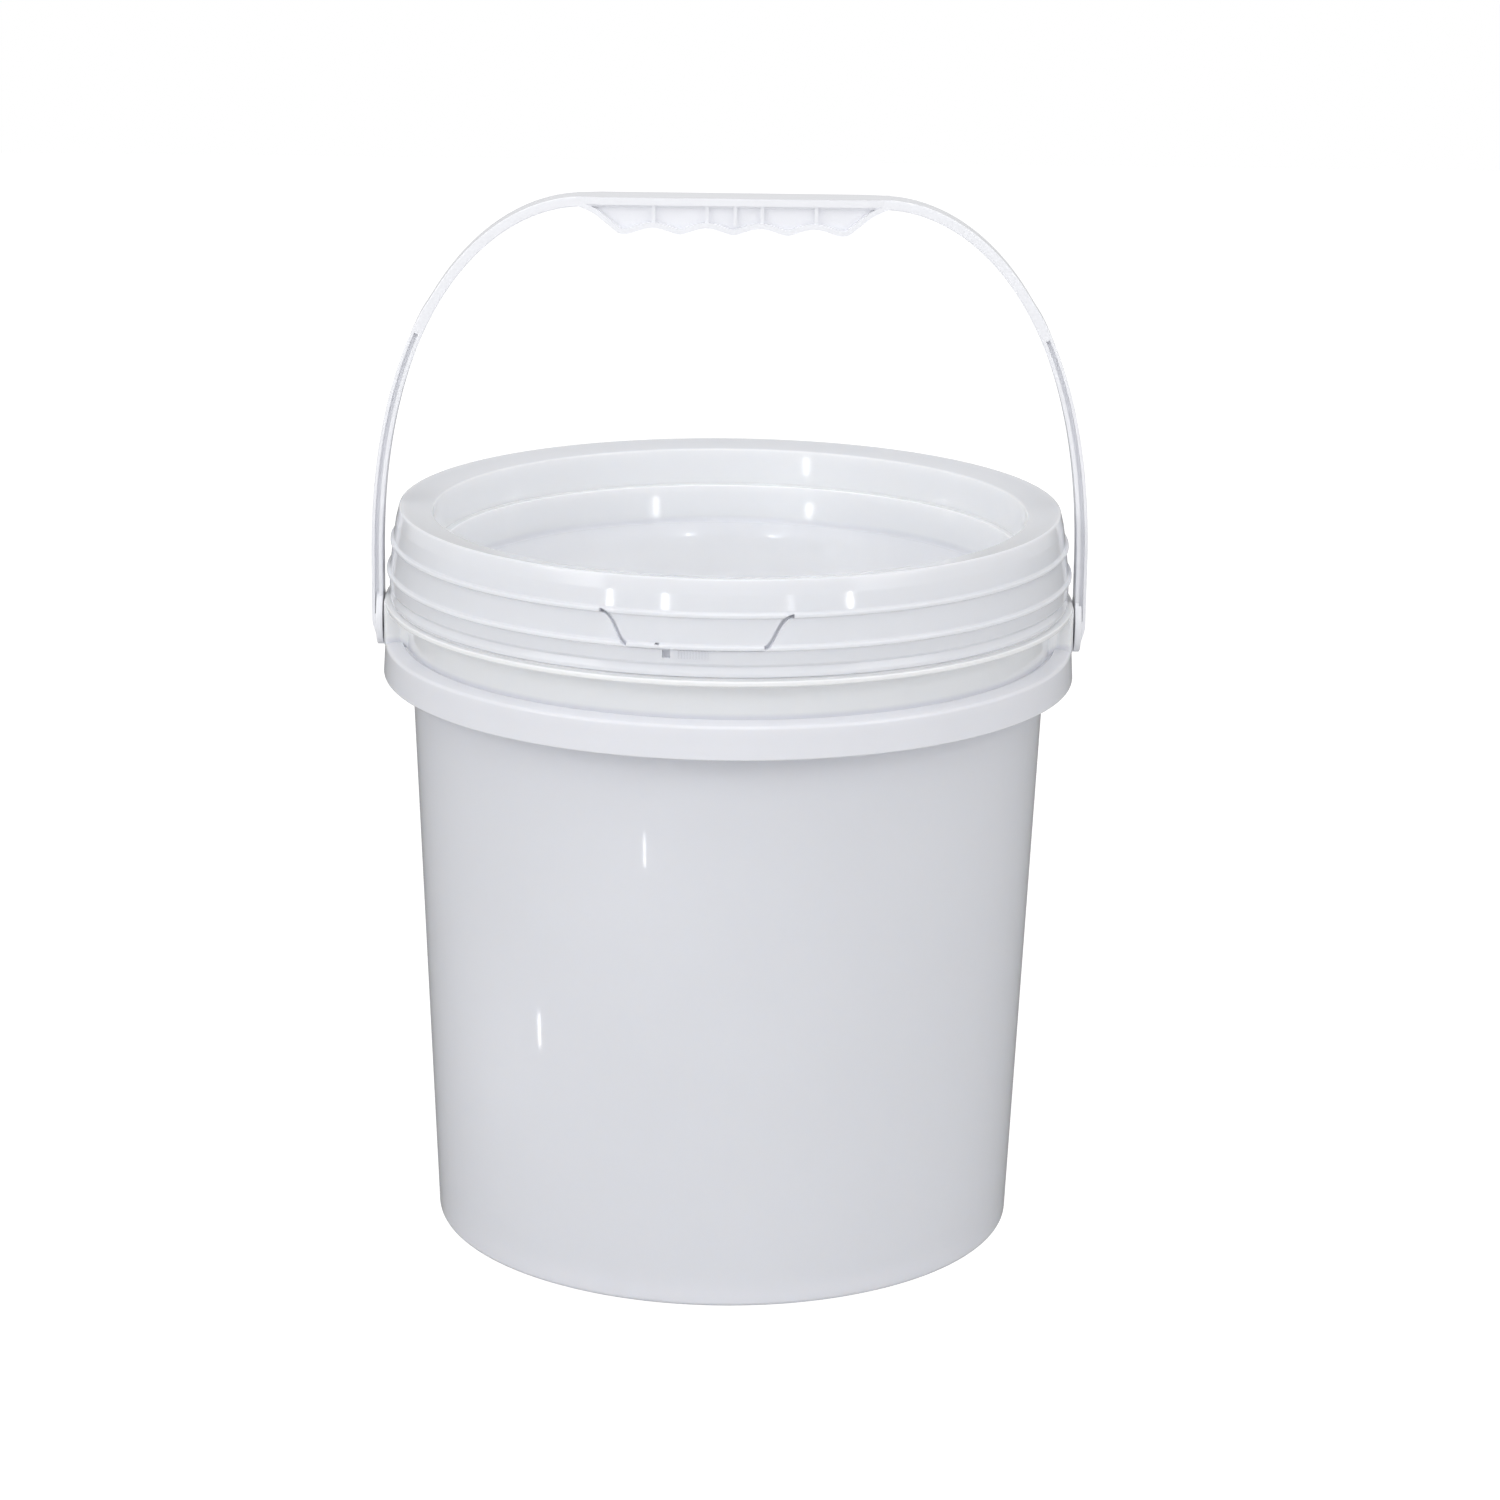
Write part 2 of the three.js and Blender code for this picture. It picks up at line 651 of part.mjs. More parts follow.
function makeHandle() {
  const { body, pocketOutline, pocketDepth } = leg();
  let handle = strap();
  for (const side of [0, 180]) {
    handle = handle.add(body.add(pin()).rotate([0, 0, side]));
    for (const shift of [-1, 1]) {
      const away = shift * (handleWidth - pocketDepth + 1) / 2;
      const pocket = solid(across(pocketOutline, pocketDepth + 1).translate(0, away, 0));
      handle = handle.subtract(pocket.rotate([0, 0, side]));
    }
  }
  return handle.add(grip());
}

const pail = new THREE.Group();
pail.add(namedMesh('bucket', makeBucket(), bucketMaterial));
pail.add(namedMesh('lid', makeLid(), lidMaterial));
pail.add(namedMesh('lid_seal', makeSeal(), sealMaterial));
pail.add(namedMesh('handle', makeHandle(), handleMaterial));

export default pail;
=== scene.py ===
import math

import bpy
from mathutils import Matrix, Vector


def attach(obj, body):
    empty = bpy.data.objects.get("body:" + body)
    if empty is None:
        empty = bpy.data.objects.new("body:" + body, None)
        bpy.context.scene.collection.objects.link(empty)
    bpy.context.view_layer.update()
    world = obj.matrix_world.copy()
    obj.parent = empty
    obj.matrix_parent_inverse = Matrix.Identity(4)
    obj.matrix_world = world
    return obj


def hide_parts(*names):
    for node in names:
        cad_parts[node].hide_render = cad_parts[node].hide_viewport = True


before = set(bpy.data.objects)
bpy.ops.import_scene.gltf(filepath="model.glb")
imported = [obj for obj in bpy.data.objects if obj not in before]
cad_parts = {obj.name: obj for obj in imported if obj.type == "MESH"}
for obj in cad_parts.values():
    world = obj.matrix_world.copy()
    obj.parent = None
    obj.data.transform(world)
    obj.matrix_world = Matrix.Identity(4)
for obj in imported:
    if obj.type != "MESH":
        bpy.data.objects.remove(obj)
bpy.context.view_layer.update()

# A white plastic pail with its lid on and its handle up: visible model, plastics and studio.
# Lengths are in millimetres where nothing else is said, and MM turns them into metres.
MM = 0.001

# Fineness of the round work
AROUND = 288
PIN_FACES = 64
ARC_STEPS = 4
CURVE_FINENESS = 8
SLIT_POINTS = 40
SECTOR_STEPS = 24
BEND_POINTS = 72
LEG_POINTS = 12
TAPER_POINTS = 6
STRAIGHT_POINTS = 8
EDGE_STEPS = 3
WAVE_POINTS = 24
BEVEL_STEPS = 2
SHARP_DEGREES = 40
BEVEL_DEGREES = 50

# Clearances
RUNNING_GAP = 0.3
LEG_GAP = 0.8

# How far joined and cutting solids reach past the face they meet
OVERLAP = 1.0

# Bucket
BUCKET_HEIGHT = 278.5
FOOT_RADIUS = 112.5
WALL = 2.0
BASE_RISE = 3.0
BASE_THICKNESS = 2.2
FOOT_RING_WIDTH = 4.2
FOOT_RING_DRAFT = 1.0
FOOT_EDGE = 1.6
HUB_RADIUS = 12.0
HUB_DROP = 1.0
HUB_DRAFT = 0.5
NECK_RADIUS = 124.2
NECK_STEP = 1.9
BAND_HEIGHT = 31.1
FLANGE_RADIUS = 132.0
FLANGE_THICKNESS = 1.9
FLANGE_STEP_RADIUS = 129.0
FLANGE_STEP_DRAFT = 0.2
EAR_HEIGHT = 13.3
COLLAR_RADIUS = 132.7
COLLAR_DRAFT = 0.7
COLLAR_DEPTH = 13.8
COLLAR_TOP_FALL = 1.5
NECK_GROOVE_FALL = 0.3
NECK_GROOVE_WIDTH = 1.5
NECK_GROOVE_DEPTH = 0.8
NECK_GROOVE_DRAFT = 0.5
NECK_STEP_RISE = 1.3
NECK_ROOT_RISE = 1.0
BEAD_HEIGHT = 2.4
BEAD_DROP = 24.0
BEAD_HALF_FLAT = 0.5
BEAD_UNDERCUT = 2.4
BEAD_LEAD_IN = 5.0
COLLAR_RIBS = 24
COLLAR_RIB_THICKNESS = 1.5
COLLAR_RIB_SETBACK = 2.0
BASE_RIBS = 12
BASE_RIB_THICKNESS = 1.6
BASE_RIB_DROP = 1.8
BASE_RIB_REACH = 0.6

# Ears
EAR_FACE = 131.9
EAR_HALF_WIDTH = 15.5
EAR_FLAT_HALF_WIDTH = 12.0
EAR_ROOT_HALF_WIDTH = 25.0
EAR_SIDE_RADIUS = 125.8
EAR_EDGE_DRAFT = 0.9
EAR_ROOT_SINK = 0.2
EAR_FOOT_SINK = 1.2
CAVITY_REACH = 8.0
HOLE_RADIUS = 4.9

# Lid
LID_WALL = 1.6
LID_TOP_WALL = 1.8
RIM_CROWN = 0.3
SEAL_HEIGHT = 2.4
TOP_EDGE_RADIUS = 126.4
TOP_EDGE_DRAFT = 0.2
TOP_EDGE_HEIGHT = 1.6
TOP_BAND_BULGE = 1.2
TOP_BAND_DROP = 5.6
TOP_FALL = 2.1
RECESS_RADIUS = 113.6
RECESS_DEPTH = 14.4
LEDGE_WIDTH = 2.9
PANEL_DEPTH = 14.7
PANEL_BACK_DRAFT = 1.0
RECESS_DRAFT = 0.5
PLUG_RADIUS = 121.4
PLUG_WALL = 1.4
PLUG_DEPTH = 8.0
PLUG_GUTTER = 0.6
GUSSETS = 24
GUSSET_THICKNESS = 1.2
GUSSET_SETBACK = 2.0
SKIRT_GAP = 0.9
UPPER_RIDGE_DROP = 12.9
LOWER_RIDGE_DROP = 24.4
LIP_STEP_DROP = 31.5
UPPER_RIDGE_RADIUS = 129.6
LOWER_RIDGE_RADIUS = 131.1
LIP_RADIUS = 129.9
LIP_BULGE = 0.2
LIP_LEAD_IN = 0.8
SNAP_DROP = 1.6
RIDGE_HEIGHT = 0.9
RIDGE_OVERHANG = 0.1
RIDGE_FOOT = 1.0
RIDGE_UNDERSIDE = 0.7
RIDGE_CREST = 0.6
RIDGE_SHOULDER = 1.1
UPPER_HOLLOW = 1.0
LOWER_HOLLOW = 1.3
LOWER_RIDGE_SLOPE = 1.2
UPPER_RIDGE_SLOPE = 1.1
BAND_DRAFT = 0.1
LIP_SLOPE_FOOT = 2.2
LIP_SLOPE_TOP = 0.2
LIP_SLOPE_INSET = 0.8
LOWER_BAND_RISE = 1.2

# Tear tab
TAB_ANGLE = -5.3
TAB_TOP_HALF_ANGLE = 15.65
TAB_FOOT_HALF_ANGLE = 10.9
SLIT_WIDTH = 1.45
SLIT_DEPTH = 1.6
SLIT_TOP_GAP = 0.1
SLIT_FOOT_GAP = 0.2
SLIT_TOP_PULL = 0.05
SLIT_FOOT_PULL = 0.15
TEAR_SLIT_WIDTH = 0.35
TEAR_SCORE_DEPTH = 0.5
TEAR_LINE_DROP = 1.05
BRIDGES = 5
BRIDGE_ANGLE = 0.5
WINDOW_ANGLE = -9.85
WINDOW_SIZE = 3.0
WINDOW_GAP = 1.2
NOTCH_ANGLE = -11.3
NOTCH_WIDTH = 1.5
NOTCH_HEIGHT = 0.6
NOTCH_RISE = 0.8
TEETH = 11
TOOTH_FIRST_ANGLE = -8.0
TOOTH_PITCH = 0.47
TOOTH_SIZE = 0.5
TOOTH_ROOT = 0.8
TOOTH_RISE = 0.35

# Handle
PIVOT_HEIGHT = 238.0
HANDLE_TOP = 401.5
HANDLE_WIDTH = 12.0
STRAP_THICKNESS = 3.8
LEG_THICKNESS = 4.3
LEG_TAPER_HEIGHT = 8.5
EYE_RADIUS = 11.0
EYE_THICKNESS = 2.5
BEND_START = 24.0
LEG_FULLNESS = 0.69
SHOULDER_FULLNESS = 0.47
FLAT_HALF_LENGTH = 56.0
RAMP_TOP = 361.0
RAMP_FOOT = 353.5
INNER_FLANGE = 1.5
OUTER_FLANGE = 1.2
LEG_WEB = 8.0
POCKET_RISE = 1.0
POCKET_TOP = 350.0
PIN_RADIUS = 4.5
PIN_HEAD_RADIUS = 5.8
PIN_HEAD_LENGTH = 4.2
PIN_TIP_RADIUS = 3.8
PIN_HEAD_EDGE = 0.8
PIN_SLOT = 1.6
PIN_ROOT = 0.5
EDGE = 0.5

# Grip
GRIP_WIDTH = 15.0
GRIP_TOP_FLANGE = 2.8
GRIP_LOW_FLANGE = 2.0
GRIP_WEB = 9.0
FINGER_PITCH = 20.2
FINGERS = 4
BUMP_HEIGHT = 387.8
GROOVE_HEIGHT = 390.2
GRIP_END_RUN = 18.6
GRIP_END_KNEE = 11.6
GRIP_END_KNEE_RISE = 7.3
GRIP_END_FLAT = 2.6
GRIP_END_SINK = 0.4
GROOVE_ROUNDNESS = 0.8
GRIP_TAPER = 6.0
GRIP_EDGE = 0.35
GRIP_RIB_THICKNESS = 1.4
GRIP_RIB_INSET = 1.0
GRIP_RIBS = (-30.0, -10.0, 0.6, 10.7, 31.0)

# Plastic and rubber
BUCKET_COLOUR = (0.855, 0.862, 0.915)
LID_COLOUR = (0.89, 0.899, 0.953)
HANDLE_COLOUR = (0.94, 0.948, 0.985)
# Painted light: a paler colour mixed into the bucket's neck, flange and rim and the lid's recess walls,
# standing in for light in those shaded places.
PAINTED_LIGHT_COLOUR = (0.975, 0.983, 0.997, 1)
RUBBER_COLOUR = (0.72, 0.70, 0.64)
GLOSSY = 0.09
SATIN = 0.25
MATT = 0.75
SHELL_TRANSLUCENCY = 0.45
HANDLE_TRANSLUCENCY = 0.0
RUBBER_TRANSLUCENCY = 0.05
SCATTER_COLOUR = (1.0, 0.9, 0.8)
SCATTER_DEPTH = 0.006
PLASTIC_IOR = 1.49
# Where the painted light starts, how fast it blends in, and how far past the radius it reaches.
PAINTED_LIGHT_START = 1.0
PAINTED_LIGHT_BLEND = 1.5
PAINTED_LIGHT_MARGIN = 0.3
MOTTLE_SCALE = 14
MOTTLE_DETAIL = 4
MOTTLE_TINT = 0.015
MOTTLE_GLOSS = 0.15
GRAIN_SCALE = 900
GRAIN_DETAIL = 3
GRAIN_STRENGTH = 0.12
GRAIN_DEPTH = 0.00006
SWELL_SCALE = 22
SWELL_DETAIL = 1
SWELL_STRENGTH = 0.15
SWELL_DEPTH = 0.0003

# Floor and room
WHITE = (1, 1, 1, 1)
FLOOR_HALF_SIZE = 3000.0
FLOOR_DROP = 0.05
FLOOR_COLOUR = (0.7, 0.7, 0.7, 1)
FLOOR_ROUGHNESS = 0.6
FLOOR_GLOW = 1.25
FLOOR_GLOW_SHARE = 0.8
FLOOR_IN_MIRRORS = 0.22
ROOM_SEEN = 1.0
ROOM_LIGHT = 0.6
ROOM_LIGHT_BEHIND = 0.55
BEHIND_FROM = 0.1
BEHIND_TO = 0.7

# Lamps. Angles are in degrees, places and sizes in metres.
LAMP_DISTANCE = 2.2
LAMP_AIM = (0, 0, 0.25)
STRIP_ELEVATION = 5.6
STRIP_SIZE = (0.05, 0.34)
GLINT_WIDTH = 0.0007
# Each soft lamp: name, azimuth, elevation, width, height, watts
SOFT_LAMPS = (
    ("soft_left", -56, 24, 1.1, 1.0, 7.4),
    ("soft_right", 56, 24, 1.1, 1.0, 5.4),
    ("soft_front", 0, 40, 1.1, 1.0, 4.6),
    ("soft_top", -10, 78, 1.2, 1.2, 8.0),
)
# Each strip lamp: name, azimuth, watts
STRIP_LAMPS = (
    ("strip_a", -38.6, 1.5),
    ("strip_b", -20.3, 1.3),
    ("strip_c", 19.6, 0.35),
    ("strip_d", 39.2, 1.3),
)
# Each small lamp close to the plastic: name, place, the point it faces, height, watts
GLINT_LAMPS = (
    ("glint_high", (-0.0576, -0.1642, 0.1581), (-0.0295, -0.1159, 0.1798), 0.013, 0.0009),
    ("glint_low", (-0.1223, -0.1077, 0.0794), (-0.0686, -0.0942, 0.1026), 0.013, 0.0011),
    ("glint_wall_a", (0.0157, 0.0835, 0.2715), (0.0307, 0.1092, 0.2757), 0.007, 0.00026),
    ("glint_wall_b", (0.0163, 0.0801, 0.2561), (0.0325, 0.1052, 0.2587), 0.006, 0.00026),
    ("glint_wall_c", (-0.0153, 0.0802, 0.2569), (-0.0307, 0.1058, 0.2594), 0.008, 0.00026),
)

# Camera: metres, radians, and millimetres for the lens
CAMERA_PLACE = (0, -1.629, 0.639)
CAMERA_YAW = 0.0054
CAMERA_PITCH = 0.2714
CAMERA_ROLL = 0.0131
CAMERA_LENS = 104.4
CAMERA_SENSOR = 36
CAMERA_RANGE = 50

# Heights and radii that follow
flange_top = BUCKET_HEIGHT - BAND_HEIGHT
flange_under = flange_top - FLANGE_THICKNESS
collar_top = flange_under - EAR_HEIGHT
collar_edge_top = collar_top - COLLAR_TOP_FALL
collar_bottom = collar_top - COLLAR_DEPTH
collar_roof = collar_edge_top - WALL
bead_radius = NECK_RADIUS + BEAD_HEIGHT
bead_z = BUCKET_HEIGHT - BEAD_DROP
rim_inside = PLUG_RADIUS + 2 * RUNNING_GAP
seal_bottom = BUCKET_HEIGHT + RUNNING_GAP
seal_top = seal_bottom + SEAL_HEIGHT
seal_outside = NECK_RADIUS + RUNNING_GAP
plug_top = seal_top + RUNNING_GAP
lid_top = plug_top + LID_TOP_WALL + RIM_CROWN
skirt_bottom = flange_top + SKIRT_GAP
recess_top = lid_top - TOP_FALL
ledge_z = recess_top - RECESS_DEPTH
panel_z = ledge_z - PANEL_DEPTH
ledge_inside = RECESS_RADIUS - RECESS_DRAFT - LEDGE_WIDTH
upper_ridge_z = lid_top - UPPER_RIDGE_DROP
lower_ridge_z = lid_top - LOWER_RIDGE_DROP
lip_step_z = lid_top - LIP_STEP_DROP
upper_band_radius = UPPER_RIDGE_RADIUS - RIDGE_HEIGHT
lower_band_radius = LOWER_RIDGE_RADIUS - RIDGE_HEIGHT
cut_to = LOWER_RIDGE_RADIUS + 2 * OVERLAP
leg_face = EAR_FACE + LEG_GAP
strap_under = HANDLE_TOP - STRAP_THICKNESS
bend_foot = PIVOT_HEIGHT + BEND_START


def body_radius(z):
    """The outer radius of the tapered body at a height."""
    return FOOT_RADIUS + (NECK_RADIUS - NECK_STEP - FOOT_RADIUS) * z / collar_top


# Mesh helpers
def make_object(name, points, faces):
    """An object from points in millimetres."""
    mesh = bpy.data.meshes.new(name)
    mesh.from_pydata([Vector(p) * MM for p in points], [], faces)
    mesh.validate()
    obj = bpy.data.objects.new(name, mesh)
    bpy.context.scene.collection.objects.link(obj)
    return obj


def rounded(corners, closed=False):
    """The points of a profile whose corners (x, y, fillet radius) are turned into arcs."""
    points = []
    count = len(corners)
    for i, (x, y, radius) in enumerate(corners):
        here = Vector((x, y))
        at_end = not closed and i in (0, count - 1)
        if radius <= 0 or at_end:
            points.append(here)
            continue
        back = Vector(corners[i - 1][:2]) - here
        ahead = Vector(corners[(i + 1) % count][:2]) - here
        half = back.angle(ahead) / 2
        reach = min(radius / math.tan(half), 0.49 * back.length, 0.49 * ahead.length)
        start = here + back.normalized() * reach
        end = here + ahead.normalized() * reach
        true_radius = reach * math.tan(half)
        inwards = (back.normalized() + ahead.normalized()).normalized()
        centre = here + inwards * (true_radius / math.sin(half))
        sweep = math.pi - 2 * half
        steps = max(2, round(ARC_STEPS * sweep / (math.pi / 2)) + 1)
        first = start - centre
        turn = 1 if first.x * (end - centre).y - first.y * (end - centre).x > 0 else -1
        for step in range(steps + 1):
            angle = turn * sweep * step / steps
            spoke = Matrix.Rotation(angle, 2) @ first
            points.append(centre + spoke)
    return [(p.x, p.y) for p in points]


def lathe(name, profile, around=AROUND):
    """A body of revolution. The profile runs anticlockwise, from axis to axis or closed on itself."""
    on_axis = profile[0][0] == 0
    points = []
    rings = []
    for radius, z in profile:
        if radius == 0:
            rings.append([len(points)])
            points.append((0, 0, z))
            continue
        start = len(points)
        for i in range(around):
            angle = 2 * math.pi * i / around - math.pi / 2
            points.append((radius * math.cos(angle), radius * math.sin(angle), z))
        rings.append(list(range(start, start + around)))
    pairs = list(zip(rings, rings[1:]))
    if not on_axis:
        pairs.append((rings[-1], rings[0]))
    faces = []
    for low, high in pairs:
        if len(low) == 1:
            faces.append(list(reversed(high)))
        elif len(high) == 1:
            faces.append(list(low))
        else:
            for i in range(around):
                j = (i + 1) % around
                faces.append([low[i], low[j], high[j], high[i]])
    return make_object(name, points, faces)


def prism(name, outline, start, end):
    """An outline of (x, y) points, anticlockwise, raised from one z to another."""
    count = len(outline)
    points = [(x, y, start) for x, y in outline] + [(x, y, end) for x, y in outline]
    faces = [list(reversed(range(count))), list(range(count, 2 * count))]
    for i in range(count):
        j = (i + 1) % count
        faces.append([i, j, count + j, count + i])
    return make_object(name, points, faces)


def moved(obj, matrix):
    """The object with a matrix, in millimetres, put into its mesh."""
    scaled = matrix.copy()
    scaled.translation = matrix.translation * MM
    obj.data.transform(scaled)
    if matrix.determinant() < 0:
        obj.data.flip_normals()
    return obj


def across(name, outline, width):
    """An outline drawn in X and Z, given a width in Y about the middle."""
    stand = Matrix.Rotation(math.pi / 2, 4, "X")
    return moved(prism(name, outline, -width / 2, width / 2), stand)


def block(name, x1, x2, y1, y2, z1, z2):
    return prism(name, [(x1, y1), (x2, y1), (x2, y2), (x1, y2)], z1, z2)


def turned(obj, degrees):
    return moved(obj, Matrix.Rotation(math.radians(degrees), 4, "Z"))


def gathered(name, parts):
    """Several separate objects as one mesh."""
    points = []
    faces = []
    for part in parts:
        start = len(points)
        points.extend(tuple(v.co / MM) for v in part.data.vertices)
        faces.extend([start + i for i in p.vertices] for p in part.data.polygons)
        bpy.data.objects.remove(part)
    return make_object(name, points, faces)


def worked_in(obj):
    """The object with its modifiers worked into its mesh."""
    graph = bpy.context.evaluated_depsgraph_get()
    result = bpy.data.meshes.new_from_object(obj.evaluated_get(graph))
    obj.modifiers.clear()
    old = obj.data
    obj.data = result
    bpy.data.meshes.remove(old)
    return obj


def combined(obj, parts, operation):
    """The object with other solids joined to it or cut from it."""
    tool = gathered("tool", parts)
    modifier = obj.modifiers.new("join", "BOOLEAN")
    modifier.operation = operation
    modifier.solver = "MANIFOLD"
    modifier.object = tool
    worked_in(obj)
    bpy.data.objects.remove(tool)
    return obj


def softened(obj, width):
    """The object with its sharp edges rounded a little."""
    bevel = obj.modifiers.new("edges", "BEVEL")
    bevel.width = width * MM
    bevel.segments = BEVEL_STEPS
    bevel.limit_method = "ANGLE"
    bevel.angle_limit = math.radians(BEVEL_DEGREES)
    return worked_in(obj)


def finished(obj):
    """Smooth shading that keeps the flats flat and the sharp edges sharp."""
    obj.data.shade_smooth()
    obj.data.set_sharp_from_angle(angle=math.radians(SHARP_DEGREES))
    weighted = obj.modifiers.new("normals", "WEIGHTED_NORMAL")
    weighted.keep_sharp = True
    weighted.weight = 100
    return obj


def offset(points, distance):
    """The points of a line moved to its left."""
    result = []
    for i, point in enumerate(points):
        before = Vector(points[max(i - 1, 0)])
        after = Vector(points[min(i + 1, len(points) - 1)])
        along = (after - before).normalized()
        result.append((point[0] - along.y * distance, point[1] + along.x * distance))
    return result


def strip(points, near, far):
    """The closed outline between two lines beside a line, anticlockwise."""
    return offset(points, near) + offset(points, far)[::-1]


def bezier(p0, p1, p2, p3, count):
    """Points at equal steps of length along a cubic curve."""
    fine = []
    steps = count * CURVE_FINENESS
    for i in range(steps + 1):
        t = i / steps
        s = 1 - t
        weights = (s * s * s, 3 * s * s * t, 3 * s * t * t, t * t * t)
        fine.append(sum((Vector(p) * w for p, w in zip((p0, p1, p2, p3), weights)), Vector((0, 0))))
    lengths = [0.0]
    for a, b in zip(fine, fine[1:]):
        lengths.append(lengths[-1] + (b - a).length)
    points = []
    j = 0
    for i in range(count + 1):
        wanted = lengths[-1] * i / count
        while j < len(fine) - 2 and lengths[j + 1] < wanted:
            j += 1
        share = (wanted - lengths[j]) / (lengths[j + 1] - lengths[j])
        points.append(tuple(fine[j].lerp(fine[j + 1], share)))
    return points


# Bucket
def bucket_profile():
    """The bucket's section. Each corner is a radius, a height and a fillet."""
    base_top = BASE_RISE + BASE_THICKNESS
    hub_foot = BASE_RISE - HUB_DROP
    foot_inside = FOOT_RADIUS - FOOT_EDGE - FOOT_RING_WIDTH
    collar_inside = COLLAR_RADIUS - WALL
    collar_edge = COLLAR_RADIUS - COLLAR_DRAFT
    groove_top = collar_top - NECK_GROOVE_FALL
    groove_floor = groove_top - NECK_GROOVE_DEPTH
    groove_edge = NECK_RADIUS + NECK_GROOVE_WIDTH
    step_top = skirt_bottom - RUNNING_GAP
    return rounded([
        (0, hub_foot, 0),
        (HUB_RADIUS, hub_foot, 0.3),
        (HUB_RADIUS + HUB_DRAFT, BASE_RISE, 0.3),
        (foot_inside - FOOT_RING_DRAFT, BASE_RISE, 0.8),
        (foot_inside, 0, 0.5),
        (FOOT_RADIUS, 0, 1.7),
        (body_radius(collar_roof), collar_roof, 0.8),
        (collar_inside - COLLAR_DRAFT, collar_roof, 0.8),
        (collar_inside, collar_bottom, 0.5),
        (COLLAR_RADIUS, collar_bottom, 0.5),
        (collar_edge, collar_edge_top, 1.4),
        (groove_edge, groove_top, 0.4),
        (groove_edge - NECK_GROOVE_DRAFT, groove_floor, 0.2),
        (NECK_RADIUS, groove_floor, 0.3),
        (NECK_RADIUS, flange_under, 0.6),
        (FLANGE_RADIUS, flange_under, 0.5),
        (FLANGE_RADIUS, flange_top, 0.6),
        (FLANGE_STEP_RADIUS, flange_top, 0.2),
        (FLANGE_STEP_RADIUS - FLANGE_STEP_DRAFT, step_top, 0.3),
        (NECK_RADIUS, step_top, 0.6),
        (NECK_RADIUS, bead_z - BEAD_UNDERCUT, 0.5),
        (bead_radius, bead_z - BEAD_HALF_FLAT, 0.5),
        (bead_radius, bead_z + BEAD_HALF_FLAT, 0.8),
        (NECK_RADIUS, bead_z + BEAD_LEAD_IN, 2),
        (NECK_RADIUS, BUCKET_HEIGHT, 0.9),
        (rim_inside, BUCKET_HEIGHT, 0.9),
        (NECK_RADIUS - WALL, collar_top + NECK_STEP_RISE, 2),
        (body_radius(collar_roof) - WALL, collar_roof + NECK_ROOT_RISE, 2),
        (body_radius(base_top) - WALL, base_top, 5),
        (0, base_top, 0),
    ])


def radial_rib(name, inner, outer, thickness, bottom, top, angle):
    rib = block(name, inner, outer, -thickness / 2, thickness / 2, bottom, top)
    return turned(rib, angle - 90)


def ring_of_ribs(count, inner, outer, thickness, bottom, top):
    """Equal ribs round the axis, half a pitch away from the front."""
    return [
        radial_rib("rib", inner, outer, thickness, bottom, top, (i + 0.5) * 360 / count)
        for i in range(count)
    ]


def ear_block():
    """The flat-faced ear that carries the handle, from collar to flange."""
    root_x = math.sqrt(NECK_RADIUS ** 2 - EAR_ROOT_HALF_WIDTH ** 2) - EAR_ROOT_SINK
    half = [
        (EAR_FACE, EAR_FLAT_HALF_WIDTH, 2),
        (EAR_FACE - EAR_EDGE_DRAFT, EAR_HALF_WIDTH, 0.9),
        (EAR_SIDE_RADIUS, EAR_HALF_WIDTH, 2.5),
        (root_x, EAR_ROOT_HALF_WIDTH, 0),
    ]
    other = [(x, -y, radius) for x, y, radius in reversed(half)]
    outline = rounded(half + other, closed=True)
    ear = prism("ear", outline, collar_edge_top - EAR_FOOT_SINK, flange_under + FLANGE_THICKNESS / 2)
    core = lathe("core", [(0, collar_roof), (NECK_RADIUS - WALL / 2, collar_roof),
                          (NECK_RADIUS - WALL / 2, flange_top), (0, flange_top)])
    return combined(ear, [core], "DIFFERENCE")


def ear_cavity():
    """The hollow behind an ear, open below."""
    inside = EAR_HALF_WIDTH - WALL
    cavity = block("cavity", NECK_RADIUS - CAVITY_REACH, EAR_FACE - WALL, -inside, inside,
                   collar_bottom - OVERLAP, flange_under)
    core_foot = collar_bottom - 2 * OVERLAP
    core = lathe("core", [(0, core_foot), (NECK_RADIUS, core_foot),
                          (NECK_RADIUS, flange_top), (0, flange_top)])
    return combined(cavity, [core], "DIFFERENCE")


def along_x(obj):
    """A body of revolution laid along X at the height of the handle's pivot."""
    lay = Matrix.Rotation(math.pi / 2, 4, "Y")
    return moved(obj, Matrix.Translation((0, 0, PIVOT_HEIGHT)) @ lay)


def pin_hole():
    start = EAR_FACE - WALL - OVERLAP
    end = EAR_FACE + OVERLAP
    profile = [(0, start), (HOLE_RADIUS, start), (HOLE_RADIUS, end), (0, end)]
    return along_x(lathe("hole", profile, PIN_FACES))


def build_bucket():
    bucket = lathe("bucket_shell", bucket_profile())
    bucket = combined(bucket, [ear_block(), turned(ear_block(), 180)], "UNION")
    bucket = combined(bucket, [ear_cavity(), turned(ear_cavity(), 180)], "DIFFERENCE")
    bucket = combined(bucket, [pin_hole(), turned(pin_hole(), 180)], "DIFFERENCE")
    collar_ribs = ring_of_ribs(
        COLLAR_RIBS, body_radius(collar_bottom) - WALL / 2, COLLAR_RADIUS - WALL / 2 - COLLAR_DRAFT,
        COLLAR_RIB_THICKNESS, collar_bottom + COLLAR_RIB_SETBACK, collar_roof + WALL / 2,
    )
    base_ribs = ring_of_ribs(
        BASE_RIBS, HUB_RADIUS - OVERLAP, FOOT_RADIUS - BASE_RIB_REACH - FOOT_RING_WIDTH,
        BASE_RIB_THICKNESS, BASE_RISE - BASE_RIB_DROP, BASE_RISE + BASE_THICKNESS / 2,
    )
    bucket = combined(bucket, collar_ribs + base_ribs, "UNION")
    return finished(bucket)


